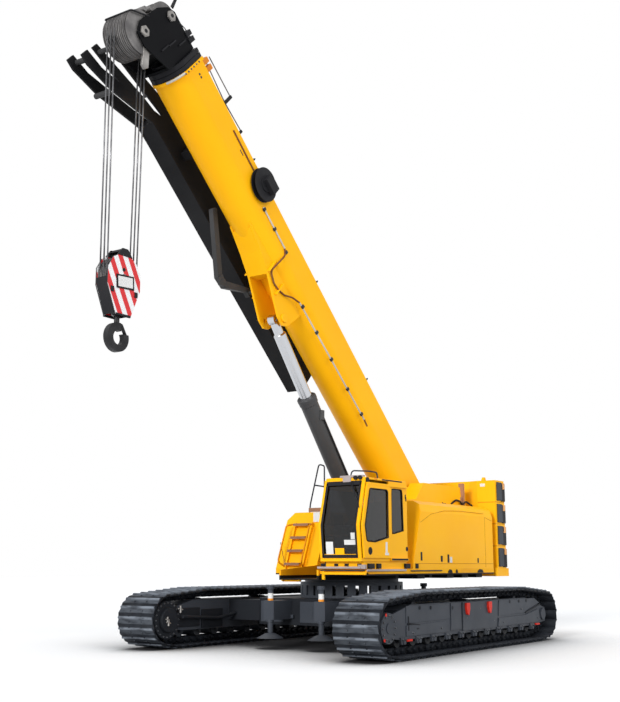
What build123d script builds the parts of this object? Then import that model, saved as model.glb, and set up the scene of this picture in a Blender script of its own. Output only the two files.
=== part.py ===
from build123d import *
import math
import os

# Crawler crane with a telescopic boom. Millimetres, +Z up, +X ahead (the way the boom points),
# +Y to the machine's left. The origin lies on the ground under the slewing axis.

os.makedirs("parts", exist_ok=True)

# ---- running gaps -----------------------------------------------------------------------------
seat_gap = 0.3          # between a piece and the seat that it rests on
pin_gap = 0.05          # radial, between a shaft and the bore that it turns in

# ---- crawlers ---------------------------------------------------------------------------------
track_gauge = 4900.0    # between the middles of the two tracks
shoe_width = 900.0
shoe_pitch_count = 76   # shoes in one loop
shoe_plate = 40.0       # thickness of a shoe
grouser_height = 28.0
chain_height = 130.0    # link chain under the shoes
end_wheel_x = 3310.0    # sprocket and idler, ahead of and behind the middle
end_wheel_z = 545.0
end_belt_radius = 500.0  # outside of the shoes round the end wheels
carrier_x = 2150.0
carrier_top = 1135.0    # top of the shoes over the carrier rollers
carrier_belt_radius = 300.0
ground_roller_x = 2980.0
ground_belt_radius = 330.0
hub_width = 420.0       # width of the sprocket and idler between the frame's forks
roller_radius = 120.0
roller_count = 11
carrier_roller_radius = 95.0
roller_length = 360.0
pocket_wall = 40.0      # beside the carrier rollers

frame_outer = 290.0     # from the track's middle to the outer face of the side frame
frame_plate = 40.0
frame_bottom = 330.0
frame_top = 900.0
frame_half_length = 2880.0
roller_run = ground_roller_x - 250.0    # middle of the track to its first and last bottom rollers
roller_slot_space = 150.0   # the frame's slot, beyond the middles of those rollers

# ---- carbody ----------------------------------------------------------------------------------
carbody_half_length = 1450.0
carbody_half_width = 1350.0
carbody_bottom = 420.0
carbody_top = 930.0
beam_x = 1050.0         # middle of the cross beams, ahead of and behind the slewing axis
beam_width = 520.0
beam_bottom = 480.0
beam_top = 880.0
ring_radius = 1050.0
ring_wall = 40.0
ring_top = 1215.0
bearing_radius = 960.0
bearing_top = 1290.0
jack_x = 2000.0
jack_y = 590.0
jack_tube_radius = 52.0
jack_pad_radius = 265.0
jack_pad_bottom = 200.0
jack_top = 1180.0

# ---- upper works ------------------------------------------------------------------------------
deck_bottom = bearing_top + seat_gap
deck_top = 1500.0
deck_depth = 120.0
deck_back = -3650.0
base_plate = 30.0
cheek_y = 420.0         # inner face of the boom cheeks
cheek_plate = 40.0
deck_front = 1900.0
deck_rear = -4440.0     # ledge under the counterweight
side_width = 1500.0     # half width over the decks, hoods and cab

# ---- ladder, which leans back on the right hood's front -----------------------------------------
ladder_x = 735.0        # its foot
ladder_y = -1010.0
ladder_width = 420.0
ladder_foot = 1250.0
ladder_lean = 22.0      # from the vertical, in degrees
ladder_length = 1290.0
ladder_depth = 60.0
ladder_back = 8.0       # plate behind the steps

# ---- boom and its lift cylinder ---------------------------------------------------------------
boom_angle = 42.3       # over the ground, in degrees
pivot_x = -1900.0
pivot_z = 2940.0
pivot_pin_radius = 90.0
top_over_pivot = 598.0  # boom's upper face over the pivot, square to the boom
boom_tail = -450.0      # rear end of the base section, along the boom from the pivot
boom_end = 10576.0      # front end of the base section
base_width = 750.0
base_height = 880.0
boom_wall = 12.0
nest_gap = 18.0         # between one section and the next
collar_length = 80.0
collar_space = 9.0
section_tail = 600.0    # rear end of the first inner section
tail_step = 60.0
slide_pad_length = 160.0

eye_along = 5676.0      # rod eye along the boom from the pivot
eye_depth = -702.0      # and square to it
foot_x = -1100.0
foot_z = 1500.0
barrel_radius = 180.0
barrel_length = 4350.0
rod_radius = 125.0
rod_length = 3900.0
eye_radius = 100.0
eye_width = 150.0
lug_inner = 205.0       # inner face of the lift lugs, from the boom's middle plane
lug_plate = 40.0

# ---- boom head, sheaves and hook block --------------------------------------------------------
head_half_width = 300.0
head_plate = 20.0
front_axle = (11540.0, -420.0)   # along and square to the boom, from the pivot
rear_axle = (11450.0, 430.0)
axle_radius = 60.0
sheave_radius = 390.0
top_sheave_radius = 300.0
groove_depth = 30.0
sheave_width = 62.0
front_sheave_count = 7
sheave_pitch = 80.0
top_sheave_offsets = (-150.0, 0.0, 150.0)
rope_radius = 13.0

block_y = -sheave_pitch  # the rope runs over the sheaves right of the middle
block_low = 5500.0
block_top = 6580.0
block_half_width = 370.0
block_plate = 22.0
block_half_depth = 116.0
block_sheave_radius = 350.0
block_sheave_z = 6150.0
crosshead_low = 5560.0
crosshead_height = 90.0
hook_shank_radius = 45.0
hook_bowl_z = 5170.0    # middle of the hook's bowl
hook_bowl_radius = 240.0
hook_throat_radius = 120.0

cos_a = math.cos(math.radians(boom_angle))
sin_a = math.sin(math.radians(boom_angle))


def save(piece, name):
    piece.part.label = name
    export_step(piece.part, f"parts/{name}.step")


def side_plane(y):
    """Vertical plane along the machine at y: its own x is ahead, its own y is up, it faces -Y."""
    return Plane(origin=(0, y, 0), x_dir=(1, 0, 0), z_dir=(0, -1, 0))


def boom_side_plane(y):
    """The same, turned with the boom, with its origin at the boom's pivot."""
    return Plane(origin=(pivot_x, y, pivot_z), x_dir=(cos_a, 0, sin_a), z_dir=(0, -1, 0))


def boom_cross_plane(along):
    """Square to the boom: its own x is +Y and its own y is square to the boom's upper face."""
    origin = (pivot_x + along * cos_a, 0, pivot_z + along * sin_a)
    return Plane(origin=origin, x_dir=(0, 1, 0), z_dir=(cos_a, 0, sin_a))


def boom_point(along, square, y=0.0):
    """A point given along the boom and square to it, in the machine's frame."""
    return (
        pivot_x + along * cos_a - square * sin_a,
        y,
        pivot_z + along * sin_a + square * cos_a,
    )


def ladder_back_x(z):
    """The back of the ladder at a height, where the right hood's front face begins."""
    lean = math.radians(ladder_lean)
    depth = ladder_depth / 2 + ladder_back + seat_gap
    return ladder_x - (z - ladder_foot) * math.tan(lean) - depth / math.cos(lean)


# ---- belt geometry shared by the track loop and its wheels -------------------------------------

def belt_circles(inset=0.0):
    """Circles that the loop runs round, anticlockwise from the front: x, z, radius."""
    ground_z = ground_belt_radius
    carrier_z = carrier_top - carrier_belt_radius
    table = [
        (end_wheel_x, end_wheel_z, end_belt_radius),
        (carrier_x, carrier_z, carrier_belt_radius),
        (-carrier_x, carrier_z, carrier_belt_radius),
        (-end_wheel_x, end_wheel_z, end_belt_radius),
        (-ground_roller_x, ground_z, ground_belt_radius),
        (ground_roller_x, ground_z, ground_belt_radius),
    ]
    return [(x, z, radius - inset) for x, z, radius in table]


def belt_runs(circles):
    """Tangent runs between the circles: start point, end point, and the start circle's index."""
    runs = []
    for i, (xa, za, ra) in enumerate(circles):
        xb, zb, rb = circles[(i + 1) % len(circles)]
        reach = math.hypot(xb - xa, zb - za)
        heading = math.atan2(zb - za, xb - xa)
        lean = math.asin((ra - rb) / reach)
        normal = heading - math.pi / 2 + lean
        ux, uz = math.cos(normal), math.sin(normal)
        runs.append(((xa + ra * ux, za + ra * uz), (xb + rb * ux, zb + rb * uz)))
    return runs


def belt_sketch_lines(circles):
    """Draw the closed belt round the circles into the current line builder."""
    runs = belt_runs(circles)
    for i, (start, end) in enumerate(runs):
        x, z, radius = circles[i]
        arrive = runs[i - 1][1]
        angle_a = math.atan2(arrive[1] - z, arrive[0] - x)
        angle_b = math.atan2(start[1] - z, start[0] - x)
        if angle_b < angle_a:
            angle_b += 2 * math.pi
        middle = (angle_a + angle_b) / 2
        through = (x + radius * math.cos(middle), z + radius * math.sin(middle))
        ThreePointArc(arrive, through, start)
        Line(start, end)


def belt_stations(circles, count):
    """Points and outward normals at equal steps along the belt."""
    runs = belt_runs(circles)
    pieces = []
    for i, (start, end) in enumerate(runs):
        x, z, radius = circles[i]
        arrive = runs[i - 1][1]
        angle_a = math.atan2(arrive[1] - z, arrive[0] - x)
        angle_b = math.atan2(start[1] - z, start[0] - x)
        if angle_b < angle_a:
            angle_b += 2 * math.pi
        pieces.append(("arc", x, z, radius, angle_a, angle_b, radius * (angle_b - angle_a)))
        reach = math.hypot(end[0] - start[0], end[1] - start[1])
        pieces.append(("run", start, end, reach))
    total = sum(piece[-1] for piece in pieces)
    stations = []
    for k in range(count):
        left = total * k / count
        for piece in pieces:
            if left <= piece[-1]:
                break
            left -= piece[-1]
        if piece[0] == "arc":
            _, x, z, radius, angle_a, _, _ = piece
            angle = angle_a + left / radius
            normal = (math.cos(angle), math.sin(angle))
            point = (x + radius * normal[0], z + radius * normal[1])
        else:
            _, start, end, reach = piece
            tangent = ((end[0] - start[0]) / reach, (end[1] - start[1]) / reach)
            normal = (tangent[1], -tangent[0])
            point = (start[0] + tangent[0] * left, start[1] + tangent[1] * left)
        stations.append((point, normal))
    return stations


def shoe_outline():
    """Outline of the loop with a raised grouser bar on each shoe."""
    # share of the pitch, height over the shoe's face
    profile = [(0.00, -14.0), (0.06, 0.0), (0.38, 0.0), (0.46, grouser_height),
               (0.60, grouser_height), (0.68, 0.0), (0.94, 0.0)]
    fine = 50
    stations = belt_stations(belt_circles(grouser_height), shoe_pitch_count * fine)
    points = []
    for k in range(shoe_pitch_count):
        for share, height in profile:
            (x, z), (nx, nz) = stations[(k * fine + round(share * fine)) % len(stations)]
            points.append((x + nx * height, z + nz * height))
    return points


track_inside = grouser_height + shoe_plate + chain_height


def make_track(side, name):
    y_mid = side * track_gauge / 2
    plane = side_plane(y_mid)
    with BuildPart() as track:
        with BuildSketch(plane):
            with BuildLine():
                Polyline(*shoe_outline(), close=True)
            make_face()
            with BuildSketch(plane, mode=Mode.SUBTRACT):
                with BuildLine():
                    belt_sketch_lines(belt_circles(track_inside))
                make_face()
        extrude(amount=shoe_width / 2, both=True)
    save(track, name)


def make_end_wheel(side, x, name, toothed):
    """Sprocket or idler: a rim that the chain rides on, a disc and a hub, on one axle."""
    y_mid = side * track_gauge / 2
    rim_radius = end_belt_radius - track_inside - seat_gap
    plane = side_plane(y_mid)
    with BuildPart() as wheel:
        with BuildSketch(plane):
            with Locations((x, end_wheel_z)):
                Circle(rim_radius)
                if toothed:
                    with PolarLocations(rim_radius - 12.0, 14, start_angle=12.0):
                        Circle(13.0, mode=Mode.SUBTRACT)
        extrude(amount=hub_width / 4, both=True)
        with BuildSketch(plane):
            with Locations((x, end_wheel_z)):
                Circle(rim_radius * 0.62)
        extrude(amount=hub_width / 2, both=True)
        with BuildSketch(plane):
            with Locations((x, end_wheel_z)):
                Circle(75.0)
        extrude(amount=frame_outer + 10.0, both=True)
    save(wheel, name)


def make_rollers(side, name):
    """Bottom and carrier rollers of one track, each a flanged drum on its own axle."""
    y_mid = side * track_gauge / 2
    plane = side_plane(y_mid)
    bottom_z = track_inside + roller_radius + seat_gap
    pitch = 2 * roller_run / (roller_count - 1)
    with BuildPart() as rollers:
        with BuildSketch(plane):
            with Locations((0, bottom_z)):
                with GridLocations(pitch, 1, roller_count, 1):
                    Circle(roller_radius)
        extrude(amount=roller_length / 2, both=True)
        with BuildSketch(plane):
            with Locations((0, bottom_z)):
                with GridLocations(pitch, 1, roller_count, 1):
                    Circle(38.0)
        extrude(amount=frame_outer - frame_plate, both=True)
        carrier_z = carrier_top - track_inside - carrier_roller_radius - seat_gap
        with BuildSketch(plane):
            with Locations((carrier_x, carrier_z), (0, carrier_z), (-carrier_x, carrier_z)):
                Circle(carrier_roller_radius)
        extrude(amount=roller_length / 2, both=True)
        with BuildSketch(plane):
            with Locations((carrier_x, carrier_z), (0, carrier_z), (-carrier_x, carrier_z)):
                Circle(30)
        extrude(amount=frame_outer - frame_plate - pocket_wall, both=True)
    save(rollers, name)


def make_track_frame(side, name):
    """Welded side frame: two plates with forks for the end wheels, a top box and closing ribs."""
    y_mid = side * track_gauge / 2
    plane = side_plane(y_mid)
    wheel_x = end_wheel_x
    outline = [
        (-wheel_x - 170, end_wheel_z - 150), (-wheel_x - 170, end_wheel_z + 130),
        (-frame_half_length + 160, frame_top - 60), (-frame_half_length + 420, frame_top),
        (frame_half_length - 420, frame_top), (frame_half_length - 160, frame_top - 60),
        (wheel_x + 170, end_wheel_z + 130), (wheel_x + 170, end_wheel_z - 150),
        (frame_half_length - 120, frame_bottom), (-frame_half_length + 120, frame_bottom),
    ]
    with BuildPart() as frame:
        with BuildSketch(plane):
            with BuildLine():
                Polyline(*outline, close=True)
            make_face()
            with Locations((wheel_x, end_wheel_z), (-wheel_x, end_wheel_z)):
                Circle(75.0 + pin_gap, mode=Mode.SUBTRACT)
        extrude(amount=frame_outer, both=True)
        # space between the plates for the end wheels and the rollers
        inner = frame_outer - frame_plate
        with BuildSketch(plane):
            with Locations((wheel_x, end_wheel_z), (-wheel_x, end_wheel_z)):
                Rectangle(1000, 900)
        extrude(amount=inner, both=True, mode=Mode.SUBTRACT)
        with BuildSketch(plane):
            with Locations((0, frame_bottom)):
                Rectangle(2 * (roller_run + roller_slot_space), 320)
        extrude(amount=inner, both=True, mode=Mode.SUBTRACT)
        # seats of the carrier rollers
        with BuildSketch(plane):
            with Locations((carrier_x, frame_top), (0, frame_top), (-carrier_x, frame_top)):
                Rectangle(2 * carrier_roller_radius + 60, 360)
        extrude(amount=inner - pocket_wall, both=True, mode=Mode.SUBTRACT)
    save(frame, name)


def make_carbody():
    """Box that carries the slewing ring, with sleeves for the two cross beams."""
    with BuildPart() as carbody:
        with BuildSketch(Plane.XY.offset(carbody_bottom)):
            RectangleRounded(2 * carbody_half_length, 2 * carbody_half_width, 160)
        extrude(amount=carbody_top - carbody_bottom)
        for sign in (1, -1):
            with BuildSketch(side_plane(0)):
                with Locations((sign * beam_x, (beam_bottom + beam_top) / 2)):
                    Rectangle(beam_width + 2 * seat_gap, beam_top - beam_bottom + 2 * seat_gap)
            extrude(amount=carbody_half_width, both=True, mode=Mode.SUBTRACT)
    save(carbody, "carbody")


def make_cross_beams():
    """The two beams that carry the track frames, each one piece through its sleeves."""
    reach = track_gauge / 2 - frame_outer
    with BuildPart() as beams:
        for sign in (1, -1):
            with BuildSketch(side_plane(0)):
                with Locations((sign * beam_x, (beam_bottom + beam_top) / 2)):
                    Rectangle(beam_width, beam_top - beam_bottom)
            extrude(amount=reach - seat_gap, both=True)
    save(beams, "cross_beams")


def make_slew_ring():
    """Slotted skirt on the carbody and the slewing bearing's lower race on top of it."""
    with BuildPart() as ring:
        with BuildSketch(Plane.XY.offset(carbody_top)):
            Circle(ring_radius)
            Circle(ring_radius - ring_wall, mode=Mode.SUBTRACT)
        extrude(amount=ring_top - carbody_top)
        with BuildSketch(Plane.XY.offset(carbody_top + 45)):
            with PolarLocations(ring_radius - ring_wall / 2, 28):
                Rectangle(3 * ring_wall, 70)
        extrude(amount=ring_top - carbody_top - 90, mode=Mode.SUBTRACT)
        with BuildSketch(Plane.XY.offset(ring_top)):
            Circle(ring_radius)
            Circle(bearing_radius - 180, mode=Mode.SUBTRACT)
        extrude(amount=20)
        with BuildSketch(Plane.XY.offset(ring_top + 20)):
            Circle(bearing_radius)
            Circle(bearing_radius - 150, mode=Mode.SUBTRACT)
        extrude(amount=bearing_top - ring_top - 20)
    save(ring, "slew_ring")


def make_jacks():
    """Four jacks on brackets at the carbody's ends, with dished pads over the ground."""
    with BuildPart() as jacks:
        for sx in (1, -1):
            for sy in (1, -1):
                x, y = sx * jack_x, sy * jack_y
                with BuildSketch(Plane.XY.offset(jack_pad_bottom)):
                    with Locations((x, y)):
                        Circle(jack_pad_radius)
                with BuildSketch(Plane.XY.offset(jack_pad_bottom + 90)):
                    with Locations((x, y)):
                        Circle(jack_tube_radius + 45)
                loft()
                with BuildSketch(Plane.XY.offset(jack_pad_bottom + 90)):
                    with Locations((x, y)):
                        Circle(jack_tube_radius)
                extrude(amount=jack_top - jack_pad_bottom - 90)
                with BuildSketch(Plane.XY.offset(carbody_bottom + 120)):
                    with Locations(((x + sx * carbody_half_length) / 2 + sx * 30, y)):
                        Rectangle(jack_x - carbody_half_length + 60 - 2 * seat_gap, 240)
                extrude(amount=360)
    save(jacks, "jacks")


# ---- upper works --------------------------------------------------------------------------------

def make_slewing_frame():
    """Base plate, two long cheeks that carry the boom pin, and the clevis of the lift cylinder."""
    cheek = [
        (-3700, deck_bottom), (deck_front, deck_bottom), (deck_front, deck_top - 20), (700, 1560),
        (-350, 1760), (pivot_x + 420, pivot_z - 40), (pivot_x + 190, pivot_z + 230),
        (pivot_x - 190, pivot_z + 230), (pivot_x - 420, pivot_z - 60), (-3000, 1760), (-3700, 1700),
    ]
    with BuildPart() as frame:
        for side in (1, -1):
            y_mid = side * (cheek_y + cheek_plate / 2)
            with BuildSketch(side_plane(y_mid)):
                with BuildLine():
                    Polyline(*cheek, close=True)
                make_face()
                with Locations((pivot_x, pivot_z)):
                    Circle(pivot_pin_radius + pin_gap, mode=Mode.SUBTRACT)
            extrude(amount=cheek_plate / 2, both=True)
        with BuildSketch(Plane.XY.offset(deck_bottom)):
            with Locations(((deck_front + deck_rear) / 2, 0)):
                Rectangle(deck_front - deck_rear, 2 * cheek_y)
        extrude(amount=base_plate)
        with BuildSketch(Plane.XY.offset(deck_bottom)):
            Circle(bearing_radius)
        extrude(amount=base_plate)
        # foot brackets of the lift cylinder, on the cheeks' inner faces
        for side in (1, -1):
            with BuildSketch(side_plane(side * (cheek_y + eye_width + 70) / 2)):
                with BuildLine():
                    Polyline((foot_x - 260, deck_bottom), (foot_x + 260, deck_bottom),
                             (foot_x + 130, foot_z + 90), (foot_x - 130, foot_z + 90), close=True)
                make_face()
                with Locations((foot_x, foot_z)):
                    Circle(70 + pin_gap, mode=Mode.SUBTRACT)
            extrude(amount=(cheek_y - eye_width - 70) / 2, both=True)
    save(frame, "slewing_frame")


def make_decks():
    """Side decks that carry the cab, the hoods and the walkway."""
    inner = cheek_y + cheek_plate + seat_gap
    with BuildPart() as decks:
        for side, front in ((1, 1850.0), (-1, ladder_back_x(deck_top))):
            with BuildSketch(Plane.XY.offset(deck_top - deck_depth)):
                with Locations(((front + deck_back) / 2, side * (inner + side_width) / 2)):
                    Rectangle(front - deck_back, side_width - inner)
            extrude(amount=deck_depth)
            for x in (-2600, -1100, 300):
                with BuildSketch(Plane.XY.offset(deck_bottom + base_plate + seat_gap)):
                    with Locations((x, side * (inner + 1250) / 2)):
                        Rectangle(120, 1250 - inner)
                extrude(amount=deck_top - deck_depth - deck_bottom - base_plate - seat_gap)
    save(decks, "side_decks")


# cab: side outline of the shell, x and z, from the lower rear corner
cab_rear = 300.0
cab_floor_z = 1640.0
cab_roof_z = 3200.0
cab_inner_y = 600.0
cab_outer_y = 1500.0
cab_wall = 40.0
door_front = 1900.0
door_rear = 1010.0


def cab_front_x(z):
    """Front of the cab at a height: it bulges a little and leans back towards the roof."""
    lower_z, knee_z = cab_floor_z, 2300.0
    lower_x, knee_x, top_x = 2040.0, 2110.0, 1870.0
    if z <= knee_z:
        return lower_x + (knee_x - lower_x) * (z - lower_z) / (knee_z - lower_z)
    return knee_x + (top_x - knee_x) * (z - knee_z) / (cab_roof_z - knee_z)


def make_cab():
    mid_y = (cab_inner_y + cab_outer_y) / 2
    width = cab_outer_y - cab_inner_y
    roof_under = cab_roof_z - cab_wall
    floor_top = cab_floor_z + 60.0

    def wall_outline(x_rear, front_inset, z_low, z_high):
        return [
            (x_rear, z_low), (cab_front_x(z_low) - front_inset, z_low),
            (cab_front_x(2300.0) - front_inset, 2300.0),
            (cab_front_x(z_high) - front_inset, z_high), (x_rear, z_high),
        ]

    with BuildPart() as floor:
        with BuildSketch(Plane.XY.offset(cab_floor_z)):
            with Locations(((cab_rear + 2040) / 2, mid_y)):
                Rectangle(2040 - cab_rear, width)
        extrude(amount=floor_top - cab_floor_z)
    save(floor, "cab_floor")

    with BuildPart() as roof:
        front = cab_front_x(roof_under)
        with BuildSketch(Plane.XY.offset(roof_under)):
            with Locations(((cab_rear + front) / 2, mid_y)):
                RectangleRounded(front - cab_rear, width, 60)
            with Locations((1250, mid_y)):
                RectangleRounded(620, 560, 60, mode=Mode.SUBTRACT)
        extrude(amount=cab_wall)
        fillet(roof.edges().group_by(Axis.Z)[-1].sort_by(SortBy.LENGTH)[-4:], 20)
    save(roof, "cab_roof")

    with BuildPart() as rear:
        with BuildSketch(Plane.YZ.offset(cab_rear)):
            with Locations((mid_y, (floor_top + roof_under) / 2)):
                Rectangle(width, roof_under - floor_top)
            with Locations((mid_y, 2600)):
                RectangleRounded(620, 760, 60, mode=Mode.SUBTRACT)
        extrude(amount=cab_wall)
    save(rear, "cab_rear_wall")

    with BuildPart() as right:
        with BuildSketch(side_plane(cab_inner_y + cab_wall / 2)):
            with BuildLine():
                Polyline(*wall_outline(cab_rear + cab_wall, cab_wall, floor_top, roof_under),
                         close=True)
            make_face()
            with Locations((1120, 2560)):
                RectangleRounded(1300, 860, 60, mode=Mode.SUBTRACT)
        extrude(amount=cab_wall / 2, both=True)
    save(right, "cab_right_wall")

    with BuildPart() as left:
        with BuildSketch(side_plane(cab_outer_y - cab_wall / 2)):
            with Locations(((cab_rear + cab_wall + door_rear) / 2, (floor_top + roof_under) / 2)):
                Rectangle(door_rear - cab_rear - cab_wall, roof_under - floor_top)
            with BuildLine():
                Polyline((450, 2230), (900, 2150), (900, 3030), (480, 3030), close=True)
            make_face(mode=Mode.SUBTRACT)
        extrude(amount=cab_wall / 2, both=True)
    save(left, "cab_left_panel")

    with BuildPart() as front_frame:
        outer = wall_outline(cab_front_x(floor_top) - cab_wall, 0, floor_top, roof_under)
        low, knee, high = outer[1], outer[2], outer[3]
        with BuildSketch(side_plane(mid_y)):
            with BuildLine():
                Polyline(low, knee, high, (high[0] - cab_wall, high[1]), (knee[0] - cab_wall, knee[1]),
                         (low[0] - cab_wall, low[1]), close=True)
            make_face()
        extrude(amount=width / 2, both=True)
        with BuildSketch(Plane.YZ.offset(1500)):
            with Locations((mid_y, 2420)):
                Rectangle(width - 140, 1300)
        extrude(amount=900, mode=Mode.SUBTRACT)
    save(front_frame, "cab_front_frame")

    with BuildPart() as glass:
        # rear window, right window, left rear window, roof window and windscreen
        pane = 6.0
        shrink = 2 * seat_gap
        with BuildSketch(Plane.YZ.offset(cab_rear + cab_wall / 2)):
            with Locations((mid_y, 2600)):
                RectangleRounded(620 - shrink, 760 - shrink, 60)
        extrude(amount=pane)
        with BuildSketch(side_plane(cab_inner_y + cab_wall / 2)):
            with Locations((1120, 2560)):
                RectangleRounded(1300 - shrink, 860 - shrink, 60)
        extrude(amount=pane)
        with BuildSketch(side_plane(cab_outer_y - cab_wall / 2)):
            with BuildLine():
                Polyline((451, 2231), (899, 2152), (899, 3029), (481, 3029), close=True)
            make_face()
        extrude(amount=pane)
        with BuildSketch(Plane.XY.offset(roof_under + cab_wall / 2)):
            with Locations((1250, mid_y)):
                RectangleRounded(620 - shrink, 560 - shrink, 60)
        extrude(amount=pane)
        with BuildSketch(side_plane(mid_y)):
            low_z, high_z = 1770.0 + seat_gap, 3070.0 - seat_gap
            back = cab_wall / 2
            with BuildLine():
                Polyline((cab_front_x(low_z) - back, low_z), (cab_front_x(2300) - back, 2300),
                         (cab_front_x(high_z) - back, high_z),
                         (cab_front_x(high_z) - back - pane, high_z),
                         (cab_front_x(2300) - back - pane, 2300),
                         (cab_front_x(low_z) - back - pane, low_z), close=True)
            make_face()
        extrude(amount=(width - 140) / 2 - seat_gap, both=True)
    save(glass, "cab_glass")

    with BuildPart() as door:
        y_door = cab_outer_y + 6 + 17
        with BuildSketch(side_plane(y_door)):
            with BuildLine():
                Polyline((door_rear, 1700), (1985, 1700), (2050, 2300), (1860, 3060),
                         (door_rear, 3060), close=True)
            make_face()
            with BuildLine():
                Polyline((1120, 2090), (1600, 2000), (1900, 2010), (1960, 2300), (1780, 2985),
                         (1120, 2985), close=True)
            make_face(mode=Mode.SUBTRACT)
            with Locations((1780, 1830)):
                Circle(45, mode=Mode.SUBTRACT)
        extrude(amount=17, both=True)
    save(door, "cab_door")

    with BuildPart() as door_glass:
        with BuildSketch(side_plane(y_door)):
            with BuildLine():
                Polyline((1120.5, 2090.5), (1600, 2000.5), (1899.5, 2010.5), (1959.5, 2300),
                         (1779.5, 2984.5), (1120.5, 2984.5), close=True)
            make_face()
        extrude(amount=3, both=True)
    save(door_glass, "cab_door_glass")

    with BuildPart() as rails:
        # top rail that the door hangs from and lower guide over the rear half
        for x_low, x_high, z_low, z_high in ((340, 1840, 3060.3, 3100), (330, 1000, 1655, 1699.7)):
            with BuildSketch(side_plane(cab_outer_y + 22)):
                with Locations(((x_low + x_high) / 2, (z_low + z_high) / 2)):
                    Rectangle(x_high - x_low, z_high - z_low)
            extrude(amount=22, both=True)
    save(rails, "cab_door_rails")

    with BuildPart() as seat:
        seat_x, seat_y = 1000, mid_y
        with BuildSketch(Plane.XY.offset(floor_top)):
            with Locations((seat_x, seat_y)):
                Rectangle(320, 300)
        extrude(amount=330)
        with BuildSketch(Plane.XY.offset(floor_top + 330)):
            with Locations((seat_x + 30, seat_y)):
                RectangleRounded(500, 500, 60)
        extrude(amount=130)
        with BuildSketch(side_plane(seat_y)):
            with BuildLine():
                Polyline((seat_x - 220, floor_top + 460), (seat_x - 100, floor_top + 460),
                         (seat_x - 170, floor_top + 1080), (seat_x - 270, floor_top + 1080),
                         close=True)
            make_face()
        extrude(amount=240, both=True)
    save(seat, "cab_seat")

    with BuildPart() as console:
        for y in (seat_y - 340, seat_y + 330):
            with BuildSketch(Plane.XY.offset(floor_top)):
                with Locations((1150, y)):
                    Rectangle(560, 110)
            extrude(amount=560)
        with BuildSketch(Plane.XY.offset(floor_top)):
            with Locations((1830, mid_y)):
                Rectangle(120, 460)
        extrude(amount=420)
    save(console, "cab_console")

    with BuildPart() as base:
        with BuildSketch(Plane.XY.offset(deck_top)):
            with Locations(((cab_rear + 1900) / 2, mid_y)):
                Rectangle(1900 - cab_rear, width - 60)
        extrude(amount=cab_floor_z - deck_top)
    save(base, "cab_base")


hood_wall = 30.0
hood_front = 100.0      # foot of the hoods' front faces
hood_rear = -3640.0
hood_shoulder = 2860.0
hood_crown = 3330.0     # raised part beside the boom
hood_inner = cheek_y + cheek_plate + 20.0
right_hood_top = 2670.0


def make_left_hood():
    """Engine hood: a shell with a chamfered shoulder and a raised inner part beside the boom."""
    with BuildPart() as hood:
        with BuildSketch(Plane.YZ.offset(hood_rear)):
            with BuildLine():
                Polyline((hood_inner, deck_top), (side_width, deck_top), (side_width, 2640),
                         (side_width - 60, 2790), (side_width - 200, hood_shoulder),
                         (860, 2920), (820, hood_crown), (hood_inner, hood_crown), close=True)
            make_face()
        extrude(amount=hood_front - hood_rear)
        with BuildSketch(side_plane(0)):
            with BuildLine():
                Polyline((hood_front, deck_top), (-330, hood_shoulder), (-1250, 2960),
                         (-1700, hood_crown + 20), (hood_front + 50, hood_crown + 20),
                         (hood_front + 50, deck_top), close=True)
            make_face()
        extrude(amount=side_width + 50, both=True, mode=Mode.SUBTRACT)
        with BuildSketch(Plane.YZ.offset(hood_rear + hood_wall)):
            with BuildLine():
                Polyline((hood_inner + hood_wall, deck_top), (side_width - hood_wall, deck_top),
                         (side_width - hood_wall, 2630), (side_width - 210, hood_shoulder - hood_wall),
                         (hood_inner + hood_wall, hood_shoulder - hood_wall), close=True)
            make_face()
        extrude(amount=-430 - hood_rear - hood_wall, mode=Mode.SUBTRACT)
    save(hood, "hood_left")

    with BuildPart() as engine:
        with BuildSketch(Plane.XY.offset(deck_top)):
            with Locations((-1900, (hood_inner + side_width) / 2)):
                Rectangle(1500, 640)
        extrude(amount=950)
    save(engine, "engine_block")


def make_right_hood():
    """Tank and hydraulics housing on the right, closed all round, with a sloping front."""
    nose = [(deck_top, ladder_back_x(deck_top)), (right_hood_top, ladder_back_x(right_hood_top))]
    with BuildPart() as hood:
        with BuildSketch(Plane.YZ.offset(hood_rear)):
            with BuildLine():
                Polyline((-hood_inner, deck_top), (-side_width, deck_top),
                         (-side_width, right_hood_top - 160), (-side_width + 160, right_hood_top),
                         (-hood_inner, right_hood_top), close=True)
            make_face()
        extrude(amount=nose[0][1] - hood_rear)
        with BuildSketch(side_plane(-side_width - 10)):
            with BuildLine():
                Polyline((nose[0][1], deck_top), (nose[1][1], right_hood_top + 1),
                         (nose[0][1] + 10, right_hood_top + 1), (nose[0][1] + 10, deck_top),
                         close=True)
            make_face()
        extrude(amount=-side_width, mode=Mode.SUBTRACT)
        # space inside
        with BuildSketch(Plane.YZ.offset(hood_rear + hood_wall)):
            with Locations((-(hood_inner + side_width) / 2, (deck_top + right_hood_top - 160) / 2)):
                Rectangle(side_width - hood_inner - 2 * hood_wall,
                          right_hood_top - 160 - deck_top - 2 * hood_wall)
        extrude(amount=nose[1][1] - hood_rear - 2 * hood_wall - 100, mode=Mode.SUBTRACT)
    save(hood, "hood_right")


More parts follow.
